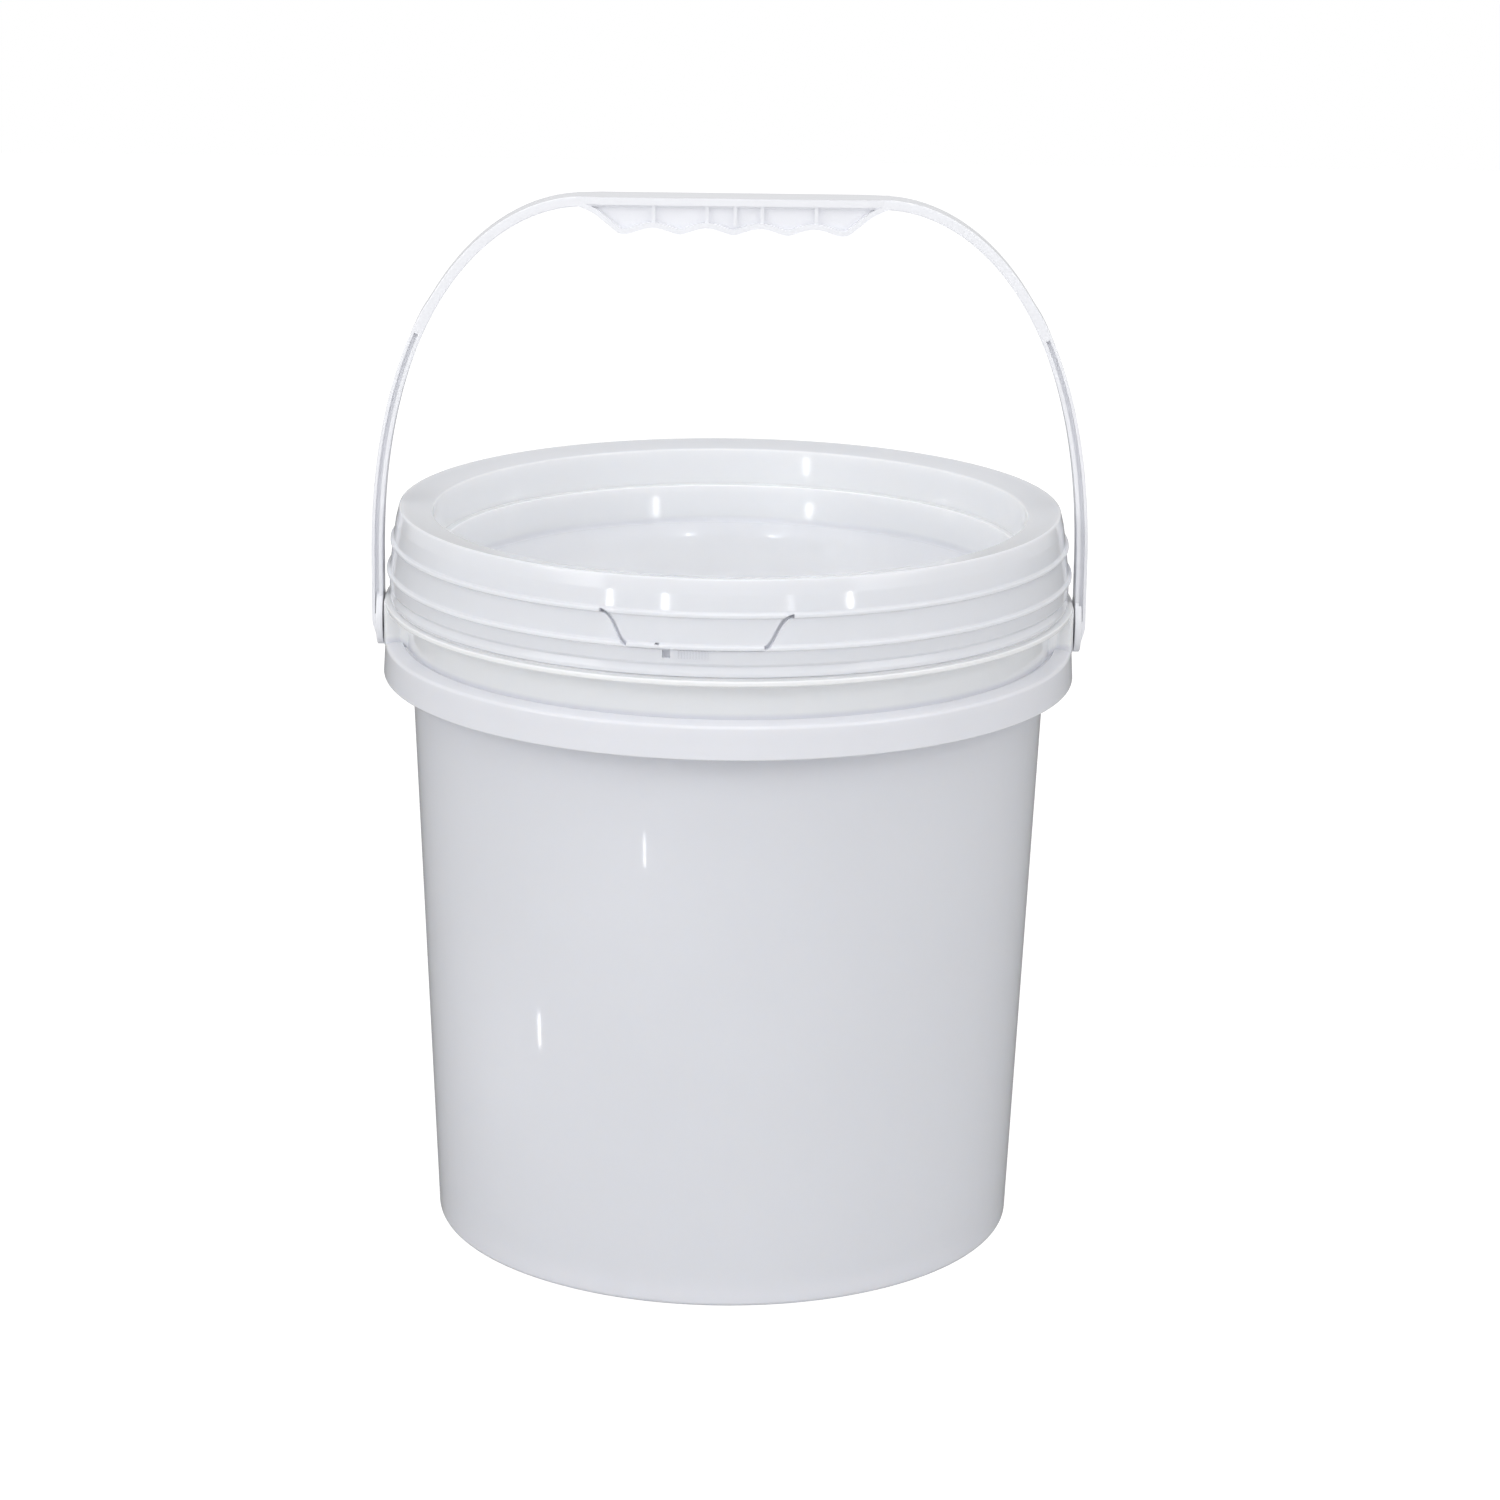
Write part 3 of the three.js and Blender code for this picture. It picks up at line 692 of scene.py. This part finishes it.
# Lid
def ridge_corners(radius, height, root, shoulder):
    """The corners of a ridge round the skirt, from its foot to its shoulder."""
    return [
        (root, height - RIDGE_FOOT, 0.4),
        (radius + RIDGE_OVERHANG, height - RIDGE_UNDERSIDE, 0.5),
        (radius, height + RIDGE_CREST, 0.7),
        (radius - shoulder, height + RIDGE_SHOULDER, 0.8),
    ]


def lid_profile():
    """The lid's section. Each corner is a radius, a height and a fillet."""
    recess_back = RECESS_RADIUS + LID_TOP_WALL
    ledge_back = ledge_inside + LID_TOP_WALL
    snap_radius = bead_radius + RUNNING_GAP
    plug_inside = PLUG_RADIUS - PLUG_WALL
    plug_foot = plug_top - PLUG_DEPTH
    panel_edge = ledge_inside - 2 * RECESS_DRAFT
    return rounded([
        (0, panel_z - LID_TOP_WALL, 0),
        (ledge_back - RECESS_DRAFT - PANEL_BACK_DRAFT, panel_z - LID_TOP_WALL, 5.5),
        (ledge_back, ledge_z - LID_TOP_WALL, 0.6),
        (recess_back - RECESS_DRAFT, ledge_z - LID_TOP_WALL, 1),
        (recess_back, recess_top - LID_TOP_WALL, 0.8),
        (plug_inside, recess_top - LID_TOP_WALL + PLUG_GUTTER, 0.4),
        (plug_inside, plug_foot, 0.4),
        (PLUG_RADIUS, plug_foot, 0.6),
        (PLUG_RADIUS, plug_top, 0.3),
        (seal_outside + RUNNING_GAP, plug_top, 0.3),
        (UPPER_RIDGE_RADIUS - LID_WALL - UPPER_HOLLOW, upper_ridge_z, 2),
        (LOWER_RIDGE_RADIUS - LID_WALL - LOWER_HOLLOW, lower_ridge_z, 2),
        (LIP_RADIUS - LID_WALL, lip_step_z, 0.8),
        (snap_radius, lip_step_z - SNAP_DROP, 0.5),
        (snap_radius, skirt_bottom + LIP_LEAD_IN, 0.5),
        (snap_radius + LIP_LEAD_IN, skirt_bottom, 0.3),
        (LIP_RADIUS + LIP_BULGE, skirt_bottom, 1.1),
        (LIP_RADIUS + LIP_BULGE, lip_step_z - LIP_SLOPE_FOOT, 0.8),
        (lower_band_radius - LIP_SLOPE_INSET, lip_step_z + LIP_SLOPE_TOP, 0.4),
        (lower_band_radius - BAND_DRAFT, lip_step_z + LOWER_BAND_RISE, 0.4),
        *ridge_corners(LOWER_RIDGE_RADIUS, lower_ridge_z, lower_band_radius, LOWER_RIDGE_SLOPE),
        *ridge_corners(UPPER_RIDGE_RADIUS, upper_ridge_z, upper_band_radius + BAND_DRAFT,
                       UPPER_RIDGE_SLOPE),
        (TOP_EDGE_RADIUS + TOP_BAND_BULGE, lid_top - TOP_BAND_DROP, 6),
        (TOP_EDGE_RADIUS + TOP_EDGE_DRAFT, lid_top - TOP_EDGE_HEIGHT, 2),
        (TOP_EDGE_RADIUS - TOP_EDGE_DRAFT, lid_top, 1.0),
        (RECESS_RADIUS, recess_top, 1.0),
        (RECESS_RADIUS - RECESS_DRAFT, ledge_z, 0.5),
        (ledge_inside, ledge_z, 0.5),
        (panel_edge, panel_z, 2.5),
        (0, panel_z, 0),
    ])


def on_skirt(name, outline, angle, start, end):
    """An outline drawn in (sideways, height), extruded outwards at an angle from the front."""
    turn = math.radians(angle)
    sideways = Vector((math.cos(turn), math.sin(turn), 0))
    outwards = Vector((math.sin(turn), -math.cos(turn), 0))
    place = Matrix((sideways, Vector((0, 0, 1)), outwards)).transposed().to_4x4()
    return moved(prism(name, outline, start, end), place)


def skirt_cut(outline, angle):
    """A cut into the skirt whose floor follows the skirt's slope."""
    foot = lower_band_radius - SLIT_DEPTH
    top = upper_band_radius - SLIT_DEPTH
    core = lathe("core", [(0, lip_step_z), (foot, lip_step_z), (foot, lower_ridge_z),
                          (top, upper_ridge_z), (top, lid_top), (0, lid_top)])
    return combined(on_skirt("cut", outline, angle, top - 2 * OVERLAP, cut_to), [core], "DIFFERENCE")


def tab_end_slit(side):
    """The curved slit at one end of the tab. Side is -1 for the left end and 1 for the right."""
    width = math.radians(TAB_TOP_HALF_ANGLE - TAB_FOOT_HALF_ANGLE) * LOWER_RIDGE_RADIUS
    top = upper_ridge_z - SLIT_TOP_GAP
    foot = lower_ridge_z + SLIT_FOOT_GAP
    angle = TAB_ANGLE + side * (TAB_TOP_HALF_ANGLE + TAB_FOOT_HALF_ANGLE) / 2
    line = bezier((side * width / 2, top), (side * -SLIT_TOP_PULL * width, top),
                  (side * -SLIT_FOOT_PULL * width, foot), (side * -width / 2, foot), SLIT_POINTS)
    outline = strip(line, -SLIT_WIDTH / 2, SLIT_WIDTH / 2)
    return skirt_cut(outline, angle)


def ring_sector(first, last, bottom, top):
    """A thin cut along the skirt, between two angles counted from the front."""
    degrees = [first + (last - first) * i / SECTOR_STEPS for i in range(SECTOR_STEPS + 1)]
    angles = [math.radians(d - 90) for d in degrees]
    outer = [(cut_to * math.cos(a), cut_to * math.sin(a)) for a in angles]
    floor = lower_band_radius - TEAR_SCORE_DEPTH
    inner = [(floor * math.cos(a), floor * math.sin(a)) for a in reversed(angles)]
    return prism("sector", outer + inner, bottom, top)


def tear_line():
    """The score line under the tab, with short bridges left in it."""
    sectors = []
    first = TAB_ANGLE - TAB_FOOT_HALF_ANGLE
    pitch = 2 * TAB_FOOT_HALF_ANGLE / (BRIDGES + 1)
    bottom = lower_ridge_z - TEAR_LINE_DROP
    for i in range(BRIDGES + 1):
        start = first + i * pitch + (BRIDGE_ANGLE / 2 if i > 0 else 0)
        end = first + (i + 1) * pitch - (BRIDGE_ANGLE / 2 if i < BRIDGES else 0)
        sectors.append(ring_sector(start, end, bottom, bottom + TEAR_SLIT_WIDTH))
    return sectors


def rectangle(width, height, middle):
    """An upright rectangle's outline, with its middle at a height."""
    side = width / 2
    low = middle - height / 2
    high = middle + height / 2
    return [(-side, low), (side, low), (side, high), (-side, high)]


def build_lid():
    window_z = lower_ridge_z - WINDOW_GAP - WINDOW_SIZE / 2
    lid = lathe("lid_shell", lid_profile())
    gussets = ring_of_ribs(
        GUSSETS, RECESS_RADIUS + LID_TOP_WALL / 2, PLUG_RADIUS - PLUG_WALL / 2,
        GUSSET_THICKNESS, plug_top - PLUG_DEPTH + GUSSET_SETBACK, recess_top - LID_TOP_WALL / 2,
    )
    teeth = [
        on_skirt("tooth", rectangle(TOOTH_SIZE, WINDOW_SIZE, window_z),
                 TOOTH_FIRST_ANGLE + i * TOOTH_PITCH,
                 lower_band_radius - TOOTH_ROOT, lower_band_radius + TOOTH_RISE)
        for i in range(TEETH)
    ]
    lid = combined(lid, gussets + teeth, "UNION")
    for side in (-1, 1):
        lid = combined(lid, [tab_end_slit(side)], "DIFFERENCE")
    lid = combined(lid, tear_line(), "DIFFERENCE")
    window = skirt_cut(rectangle(WINDOW_SIZE, WINDOW_SIZE, window_z), WINDOW_ANGLE)
    notch = skirt_cut(rectangle(NOTCH_WIDTH, NOTCH_HEIGHT, lower_ridge_z + NOTCH_RISE), NOTCH_ANGLE)
    lid = combined(lid, [window, notch], "DIFFERENCE")
    return finished(lid)


def build_seal():
    """The foamed ring between the bucket's rim and the lid."""
    inside = PLUG_RADIUS + RUNNING_GAP
    profile = rounded([
        (inside, seal_bottom, 0.4),
        (seal_outside, seal_bottom, 0.4),
        (seal_outside, seal_top, 0.6),
        (inside, seal_top, 0.6),
    ], closed=True)
    return finished(lathe("lid_seal_ring", profile))


# Handle
def half_line():
    """The inner line of the left half of the handle, from the pivot up to the straight top."""
    bend = bezier(
        (-leg_face, bend_foot),
        (-leg_face, bend_foot + LEG_FULLNESS * (strap_under - bend_foot)),
        (-FLAT_HALF_LENGTH - SHOULDER_FULLNESS * (leg_face - FLAT_HALF_LENGTH), strap_under),
        (-FLAT_HALF_LENGTH, strap_under),
        BEND_POINTS,
    )
    straight = [(-leg_face, PIVOT_HEIGHT + BEND_START * i / LEG_POINTS) for i in range(LEG_POINTS)]
    return straight + bend


def smooth_step(value, start, end):
    """0 below the start and 1 above the end, with an even turn between them."""
    t = min(max((value - start) / (end - start), 0), 1)
    return t * t * (3 - 2 * t)


def strap_section(height):
    """The strap's section at a height up the leg, a rounded rectangle of (outwards, sideways) points."""
    leg_share = 1 - smooth_step(height, RAMP_FOOT, RAMP_TOP)
    thick = STRAP_THICKNESS + (LEG_THICKNESS - STRAP_THICKNESS) * leg_share
    taper = 1 - smooth_step(height, PIVOT_HEIGHT - LEG_TAPER_HEIGHT, PIVOT_HEIGHT)
    thick -= (LEG_THICKNESS - EYE_THICKNESS) * taper
    half = HANDLE_WIDTH / 2
    turns = [math.radians(90 * i / EDGE_STEPS) for i in range(EDGE_STEPS + 1)]
    near_corner = [(EDGE - EDGE * math.cos(a), half - EDGE + EDGE * math.sin(a)) for a in turns]
    far_corner = [(thick - EDGE + EDGE * math.sin(a), half - EDGE + EDGE * math.cos(a)) for a in turns]
    right = near_corner + far_corner
    left = [(n, -s) for n, s in reversed(right)]
    return right + left


def build_strap():
    """The whole strap, lofted from section to section along its inner line."""
    drops = [LEG_TAPER_HEIGHT * (1 - i / TAPER_POINTS) for i in range(TAPER_POINTS)]
    foot = [(-leg_face, PIVOT_HEIGHT - drop) for drop in drops]
    left = foot + half_line()
    step = 2 * FLAT_HALF_LENGTH / STRAIGHT_POINTS
    middle = [(-FLAT_HALF_LENGTH + step * i, strap_under) for i in range(1, STRAIGHT_POINTS)]
    line = left + middle + [(-x, z) for x, z in reversed(left)]
    points = []
    for i, (x, z) in enumerate(line):
        before = Vector(line[max(i - 1, 0)])
        after = Vector(line[min(i + 1, len(line) - 1)])
        along = (after - before).normalized()
        for outwards, sideways in strap_section(z):
            points.append((x - along.y * outwards, sideways, z + along.x * outwards))
    count = len(points) // len(line)
    faces = [list(reversed(range(count)))]
    last = len(line) - 1
    for i in range(last):
        for j in range(count):
            k = (j + 1) % count
            here = i * count
            ahead = here + count
            faces.append([here + j, here + k, ahead + k, ahead + j])
    faces.append(list(range(last * count, (last + 1) * count)))
    return make_object("strap", points, faces)


def leg_pockets():
    """The shallow channels along both edges of the left leg."""
    line = [(x, z) for x, z in half_line() if PIVOT_HEIGHT + POCKET_RISE <= z < POCKET_TOP]
    outline = strip(line, INNER_FLANGE, LEG_THICKNESS - OUTER_FLANGE)
    depth = (HANDLE_WIDTH - LEG_WEB) / 2
    pockets = []
    for side in (-1, 1):
        pocket = across("pocket", outline, depth + OVERLAP)
        shift = side * (HANDLE_WIDTH - depth + OVERLAP) / 2
        pockets.append(moved(pocket, Matrix.Translation((0, shift, 0))))
    return pockets


def build_eye():
    """The round eye at the foot of a leg."""
    profile = rounded([
        (0, leg_face, 0),
        (EYE_RADIUS, leg_face, 0.4),
        (EYE_RADIUS, leg_face + EYE_THICKNESS, 0.5),
        (0, leg_face + EYE_THICKNESS, 0),
    ])
    return along_x(lathe("eye", profile, PIN_FACES))


def build_pin():
    """The pin behind an eye, with its slotted head inside the ear."""
    head_face = EAR_FACE - WALL - RUNNING_GAP
    tip = head_face - PIN_HEAD_LENGTH
    profile = rounded([
        (0, tip, 0),
        (PIN_TIP_RADIUS, tip, 0.5),
        (PIN_HEAD_RADIUS, head_face - PIN_HEAD_EDGE, 0.4),
        (PIN_HEAD_RADIUS, head_face, 0.2),
        (PIN_RADIUS, head_face, 0.2),
        (PIN_RADIUS, leg_face + PIN_ROOT, 0),
        (0, leg_face + PIN_ROOT, 0),
    ])
    pin = along_x(lathe("pin", profile, PIN_FACES))
    reach = 2 * PIN_HEAD_RADIUS
    slot = block("slot", tip - OVERLAP, EAR_FACE - PIN_ROOT, -PIN_SLOT / 2, PIN_SLOT / 2,
                 PIVOT_HEIGHT - reach, PIVOT_HEIGHT + reach)
    return combined(pin, [slot], "DIFFERENCE")


def grip_edge():
    """The grip's wavy lower edge, from left to right."""
    last = FINGERS / 2 * FINGER_PITCH
    half = []
    for i in range(int(FINGERS / 2 * WAVE_POINTS) + 1):
        x = i * FINGER_PITCH / WAVE_POINTS
        rise = (0.5 - 0.5 * math.cos(2 * math.pi * x / FINGER_PITCH)) ** GROOVE_ROUNDNESS
        half.append((x, BUMP_HEIGHT + (GROOVE_HEIGHT - BUMP_HEIGHT) * rise))
    end = rounded([
        (last, BUMP_HEIGHT, 0),
        (last + GRIP_END_FLAT, BUMP_HEIGHT, 4),
        (last + GRIP_END_KNEE, BUMP_HEIGHT + GRIP_END_KNEE_RISE, 8),
        (last + GRIP_END_RUN, strap_under + GRIP_END_SINK, 0),
    ])
    half.extend(end[1:])
    return [(-x, z) for x, z in reversed(half[1:])] + half


def grip_plan(end):
    """The grip's outline from above: wide in the middle and as wide as the strap at its ends."""
    wide = GRIP_WIDTH / 2
    narrow = HANDLE_WIDTH / 2
    taper = FLAT_HALF_LENGTH - GRIP_TAPER
    right = [(end, narrow, 0), (FLAT_HALF_LENGTH, narrow, 1), (taper, wide, 4)]
    back = right + [(-x, y, fillet) for x, y, fillet in reversed(right)]
    return rounded(back + [(-x, -y, fillet) for x, y, fillet in back], closed=True)


def build_grip():
    """The finger grip: a web between two flanges, with ribs across it."""
    edge = grip_edge()
    end = edge[-1][0]
    top = HANDLE_TOP - GRIP_TOP_FLANGE
    web_top = top + OVERLAP
    web = across("grip", edge + [(end, web_top), (-end, web_top)], GRIP_WEB)
    low = across("low", strip(edge, 0, GRIP_LOW_FLANGE), GRIP_WIDTH)
    wide = GRIP_WIDTH / 2
    high = block("high", -end, end, -wide, wide, top, HANDLE_TOP)
    grip = combined(web, [low], "UNION")
    grip = combined(grip, [high], "UNION")
    thin = GRIP_RIB_THICKNESS / 2
    reach = wide - GRIP_RIB_INSET
    rib_foot = GROOVE_HEIGHT + OVERLAP
    ribs = [block("rib", x - thin, x + thin, -reach, reach, rib_foot, web_top) for x in GRIP_RIBS]
    grip = combined(grip, ribs, "UNION")
    plan = prism("plan", grip_plan(end), BUMP_HEIGHT - OVERLAP, HANDLE_TOP)
    return combined(grip, [plan], "INTERSECT")


def build_handle():
    handle = build_strap()
    handle.name = "carry_handle"
    for side in (0, 180):
        handle = combined(handle, [turned(build_eye(), side)], "UNION")
        handle = combined(handle, [turned(build_pin(), side)], "UNION")
        handle = combined(handle, [turned(pocket, side) for pocket in leg_pockets()], "DIFFERENCE")
    handle = combined(handle, [softened(build_grip(), GRIP_EDGE)], "UNION")
    return finished(handle)


# Materials
def painted_light_share(nodes, links, place, above, within):
    """1 where painted light makes the plastic paler: above a height and within a radius, in millimetres.
    """
    axes = nodes.new("ShaderNodeSeparateXYZ")
    links.new(place.outputs["Object"], axes.inputs["Vector"])
    high = nodes.new("ShaderNodeMapRange")
    high.inputs["From Min"].default_value = above * MM
    high.inputs["From Max"].default_value = (above + PAINTED_LIGHT_BLEND) * MM
    links.new(axes.outputs["Z"], high.inputs["Value"])
    flat = nodes.new("ShaderNodeVectorMath")
    flat.operation = "MULTIPLY"
    flat.inputs[1].default_value = (1, 1, 0)
    links.new(place.outputs["Object"], flat.inputs[0])
    radius = nodes.new("ShaderNodeVectorMath")
    radius.operation = "LENGTH"
    links.new(flat.outputs["Vector"], radius.inputs[0])
    inside = nodes.new("ShaderNodeMath")
    inside.operation = "LESS_THAN"
    inside.inputs[1].default_value = within * MM
    links.new(radius.outputs["Value"], inside.inputs[0])
    both = nodes.new("ShaderNodeMath")
    both.operation = "MULTIPLY"
    links.new(high.outputs["Result"], both.inputs[0])
    links.new(inside.outputs["Value"], both.inputs[1])
    return both.outputs["Value"]


def plastic(name, colour, roughness, translucency, painted_light=None):
    """Moulded plastic: a faint mottle in colour and gloss, and a slightly uneven skin.

    The last argument is the height above which and the radius within which the plastic is painted paler,
    as painted light standing in for light on shaded parts, if given.
    """
    material = bpy.data.materials.new(name)
    material.use_nodes = True
    nodes = material.node_tree.nodes
    links = material.node_tree.links
    shader = nodes["Principled BSDF"]
    shader.inputs["IOR"].default_value = PLASTIC_IOR
    shader.inputs["Subsurface Weight"].default_value = translucency
    shader.inputs["Subsurface Radius"].default_value = SCATTER_COLOUR
    shader.inputs["Subsurface Scale"].default_value = SCATTER_DEPTH
    place = nodes.new("ShaderNodeTexCoord")

    cloud = nodes.new("ShaderNodeTexNoise")
    cloud.inputs["Scale"].default_value = MOTTLE_SCALE
    cloud.inputs["Detail"].default_value = MOTTLE_DETAIL
    links.new(place.outputs["Object"], cloud.inputs["Vector"])

    tint = nodes.new("ShaderNodeMix")
    tint.data_type = "RGBA"
    tint.inputs["A"].default_value = (*[c * (1 - MOTTLE_TINT) for c in colour], 1)
    tint.inputs["B"].default_value = (*[min(c * (1 + MOTTLE_TINT), 1) for c in colour], 1)
    links.new(cloud.outputs["Fac"], tint.inputs["Factor"])

    tone = tint
    if painted_light:
        tone = nodes.new("ShaderNodeMix")
        tone.data_type = "RGBA"
        tone.inputs["B"].default_value = PAINTED_LIGHT_COLOUR
        links.new(painted_light_share(nodes, links, place, *painted_light), tone.inputs["Factor"])
        links.new(tint.outputs["Result"], tone.inputs["A"])
    links.new(tone.outputs["Result"], shader.inputs["Base Color"])

    gloss = nodes.new("ShaderNodeMapRange")
    gloss.inputs["To Min"].default_value = roughness * (1 - MOTTLE_GLOSS)
    gloss.inputs["To Max"].default_value = roughness * (1 + MOTTLE_GLOSS)
    links.new(cloud.outputs["Fac"], gloss.inputs["Value"])
    links.new(gloss.outputs["Result"], shader.inputs["Roughness"])

    grain = nodes.new("ShaderNodeTexNoise")
    grain.inputs["Scale"].default_value = GRAIN_SCALE
    grain.inputs["Detail"].default_value = GRAIN_DETAIL
    links.new(place.outputs["Object"], grain.inputs["Vector"])
    fine = nodes.new("ShaderNodeBump")
    fine.inputs["Strength"].default_value = GRAIN_STRENGTH
    fine.inputs["Distance"].default_value = GRAIN_DEPTH
    links.new(grain.outputs["Fac"], fine.inputs["Height"])

    swell = nodes.new("ShaderNodeTexNoise")
    swell.inputs["Scale"].default_value = SWELL_SCALE
    swell.inputs["Detail"].default_value = SWELL_DETAIL
    links.new(place.outputs["Object"], swell.inputs["Vector"])
    broad = nodes.new("ShaderNodeBump")
    broad.inputs["Strength"].default_value = SWELL_STRENGTH
    broad.inputs["Distance"].default_value = SWELL_DEPTH
    links.new(swell.outputs["Fac"], broad.inputs["Height"])
    links.new(fine.outputs["Normal"], broad.inputs["Normal"])
    links.new(broad.outputs["Normal"], shader.inputs["Normal"])
    return material


def stage_material():
    """A white floor that shows as white to the camera, and dimmer in what mirrors it."""
    material = bpy.data.materials.new("white_stage")
    material.use_nodes = True
    nodes = material.node_tree.nodes
    links = material.node_tree.links
    shader = nodes["Principled BSDF"]
    shader.inputs["Base Color"].default_value = FLOOR_COLOUR
    shader.inputs["Roughness"].default_value = FLOOR_ROUGHNESS
    glow = nodes.new("ShaderNodeEmission")
    glow.inputs["Color"].default_value = WHITE
    glow.inputs["Strength"].default_value = FLOOR_GLOW
    rays = nodes.new("ShaderNodeLightPath")
    share = nodes.new("ShaderNodeMath")
    share.operation = "MULTIPLY"
    share.inputs[1].default_value = FLOOR_GLOW_SHARE
    links.new(rays.outputs["Is Camera Ray"], share.inputs[0])
    mix = nodes.new("ShaderNodeMixShader")
    links.new(share.outputs["Value"], mix.inputs["Fac"])
    links.new(shader.outputs["BSDF"], mix.inputs[1])
    links.new(glow.outputs["Emission"], mix.inputs[2])
    dim = nodes.new("ShaderNodeEmission")
    dim.inputs["Color"].default_value = WHITE
    dim.inputs["Strength"].default_value = FLOOR_IN_MIRRORS
    mirrored = nodes.new("ShaderNodeMixShader")
    links.new(rays.outputs["Is Glossy Ray"], mirrored.inputs["Fac"])
    links.new(mix.outputs["Shader"], mirrored.inputs[1])
    links.new(dim.outputs["Emission"], mirrored.inputs[2])
    links.new(mirrored.outputs["Shader"], nodes["Material Output"].inputs["Surface"])
    return material


# Studio
def add_floor():
    """The ground the pail stands on, wide enough to fill the view."""
    far = FLOOR_HALF_SIZE
    corners = [(-far, -far, 0), (far, -far, 0), (far, far, 0), (-far, far, 0)]
    floor = make_object("floor", corners, [[0, 1, 2, 3]])
    floor.location.z = -FLOOR_DROP * MM
    floor.data.materials.append(stage_material())


def add_world():
    """An even white room, a little darker behind the pail. The camera sees plain white."""
    world = bpy.data.worlds.new("studio")
    bpy.context.scene.world = world
    world.use_nodes = True
    nodes = world.node_tree.nodes
    links = world.node_tree.links
    room = nodes["Background"]
    room.inputs["Color"].default_value = WHITE
    direction = nodes.new("ShaderNodeTexCoord")
    axes = nodes.new("ShaderNodeSeparateXYZ")
    links.new(direction.outputs["Generated"], axes.inputs["Vector"])
    level = nodes.new("ShaderNodeMapRange")
    level.inputs["From Min"].default_value = BEHIND_FROM
    level.inputs["From Max"].default_value = BEHIND_TO
    level.inputs["To Min"].default_value = ROOM_LIGHT
    level.inputs["To Max"].default_value = ROOM_LIGHT_BEHIND
    links.new(axes.outputs["Y"], level.inputs["Value"])
    links.new(level.outputs["Result"], room.inputs["Strength"])
    white = nodes.new("ShaderNodeBackground")
    white.inputs["Color"].default_value = WHITE
    white.inputs["Strength"].default_value = ROOM_SEEN
    rays = nodes.new("ShaderNodeLightPath")
    mix = nodes.new("ShaderNodeMixShader")
    links.new(rays.outputs["Is Camera Ray"], mix.inputs["Fac"])
    links.new(room.outputs["Background"], mix.inputs[1])
    links.new(white.outputs["Background"], mix.inputs[2])
    links.new(mix.outputs["Shader"], nodes["World Output"].inputs["Surface"])


def add_lamp(name, place, aim, width, height, watts):
    """A rectangular lamp that faces a point, out of the camera's sight."""
    lamp = bpy.data.lights.new(name, "AREA")
    lamp.shape = "RECTANGLE"
    lamp.size = width
    lamp.size_y = height
    lamp.energy = watts
    obj = bpy.data.objects.new(name, lamp)
    bpy.context.scene.collection.objects.link(obj)
    obj.location = place
    obj.rotation_euler = (Vector(aim) - Vector(place)).to_track_quat("-Z", "Y").to_euler()
    obj.visible_camera = False


def add_panel(name, azimuth, elevation, width, height, watts):
    """A lamp round the pail. Its azimuth is counted from the front towards +X."""
    turn = math.radians(azimuth)
    rise = math.radians(elevation)
    away = Vector((math.sin(turn) * math.cos(rise), -math.cos(turn) * math.cos(rise), math.sin(rise)))
    aim = Vector(LAMP_AIM)
    add_lamp(name, aim + away * LAMP_DISTANCE, aim, width, height, watts)


def add_lamps():
    for soft in SOFT_LAMPS:
        add_panel(*soft)
    for name, azimuth, watts in STRIP_LAMPS:
        add_panel(name, azimuth, STRIP_ELEVATION, *STRIP_SIZE, watts)
    for name, place, aim, height, watts in GLINT_LAMPS:
        add_lamp(name, place, aim, GLINT_WIDTH, height, watts)


def add_camera():
    """The camera that the circles in the photograph give: its place, its turn and its lens."""
    level = math.cos(CAMERA_PITCH)
    forward = Vector((math.sin(CAMERA_YAW) * level, math.cos(CAMERA_YAW) * level, -math.sin(CAMERA_PITCH)))
    right = Vector((math.cos(CAMERA_YAW), -math.sin(CAMERA_YAW), 0))
    up = right.cross(forward)
    tilted_right = right * math.cos(CAMERA_ROLL) + up * math.sin(CAMERA_ROLL)
    tilted_up = up * math.cos(CAMERA_ROLL) - right * math.sin(CAMERA_ROLL)
    camera = bpy.data.cameras.new("camera")
    camera.lens = CAMERA_LENS
    camera.sensor_width = CAMERA_SENSOR
    camera.clip_end = CAMERA_RANGE
    obj = bpy.data.objects.new("camera", camera)
    bpy.context.scene.collection.objects.link(obj)
    axes = Matrix((tilted_right, tilted_up, -forward)).transposed().to_4x4()
    obj.matrix_world = Matrix.Translation(CAMERA_PLACE) @ axes
    bpy.context.scene.camera = obj


def dress(obj, body, node, material):
    """A piece given its plastic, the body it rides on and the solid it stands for."""
    obj.data.materials.clear()
    obj.data.materials.append(material)
    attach(obj, body)
    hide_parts(node)


bpy.context.scene.view_settings.view_transform = "Standard"
add_camera()
add_world()
add_lamps()
add_floor()

# Painted light: the bucket is painted paler above the collar and the lid paler on its recess walls and
# ledge, for light in the shaded neck and recess.
bucket_painted_light = (collar_top, COLLAR_RADIUS + PAINTED_LIGHT_MARGIN)
lid_painted_light = (panel_z + PAINTED_LIGHT_START, RECESS_RADIUS + PAINTED_LIGHT_MARGIN)
bucket_white = plastic("bucket_white", BUCKET_COLOUR, GLOSSY, SHELL_TRANSLUCENCY, bucket_painted_light)
lid_white = plastic("lid_white", LID_COLOUR, GLOSSY, SHELL_TRANSLUCENCY, lid_painted_light)
foam = plastic("seal_rubber", RUBBER_COLOUR, MATT, RUBBER_TRANSLUCENCY)
handle_white = plastic("handle_white", HANDLE_COLOUR, SATIN, HANDLE_TRANSLUCENCY)
dress(build_bucket(), "bucket", "bucket", bucket_white)
dress(build_lid(), "lid", "lid", lid_white)
dress(build_seal(), "lid", "lid_seal", foam)
dress(build_handle(), "handle", "handle", handle_white)
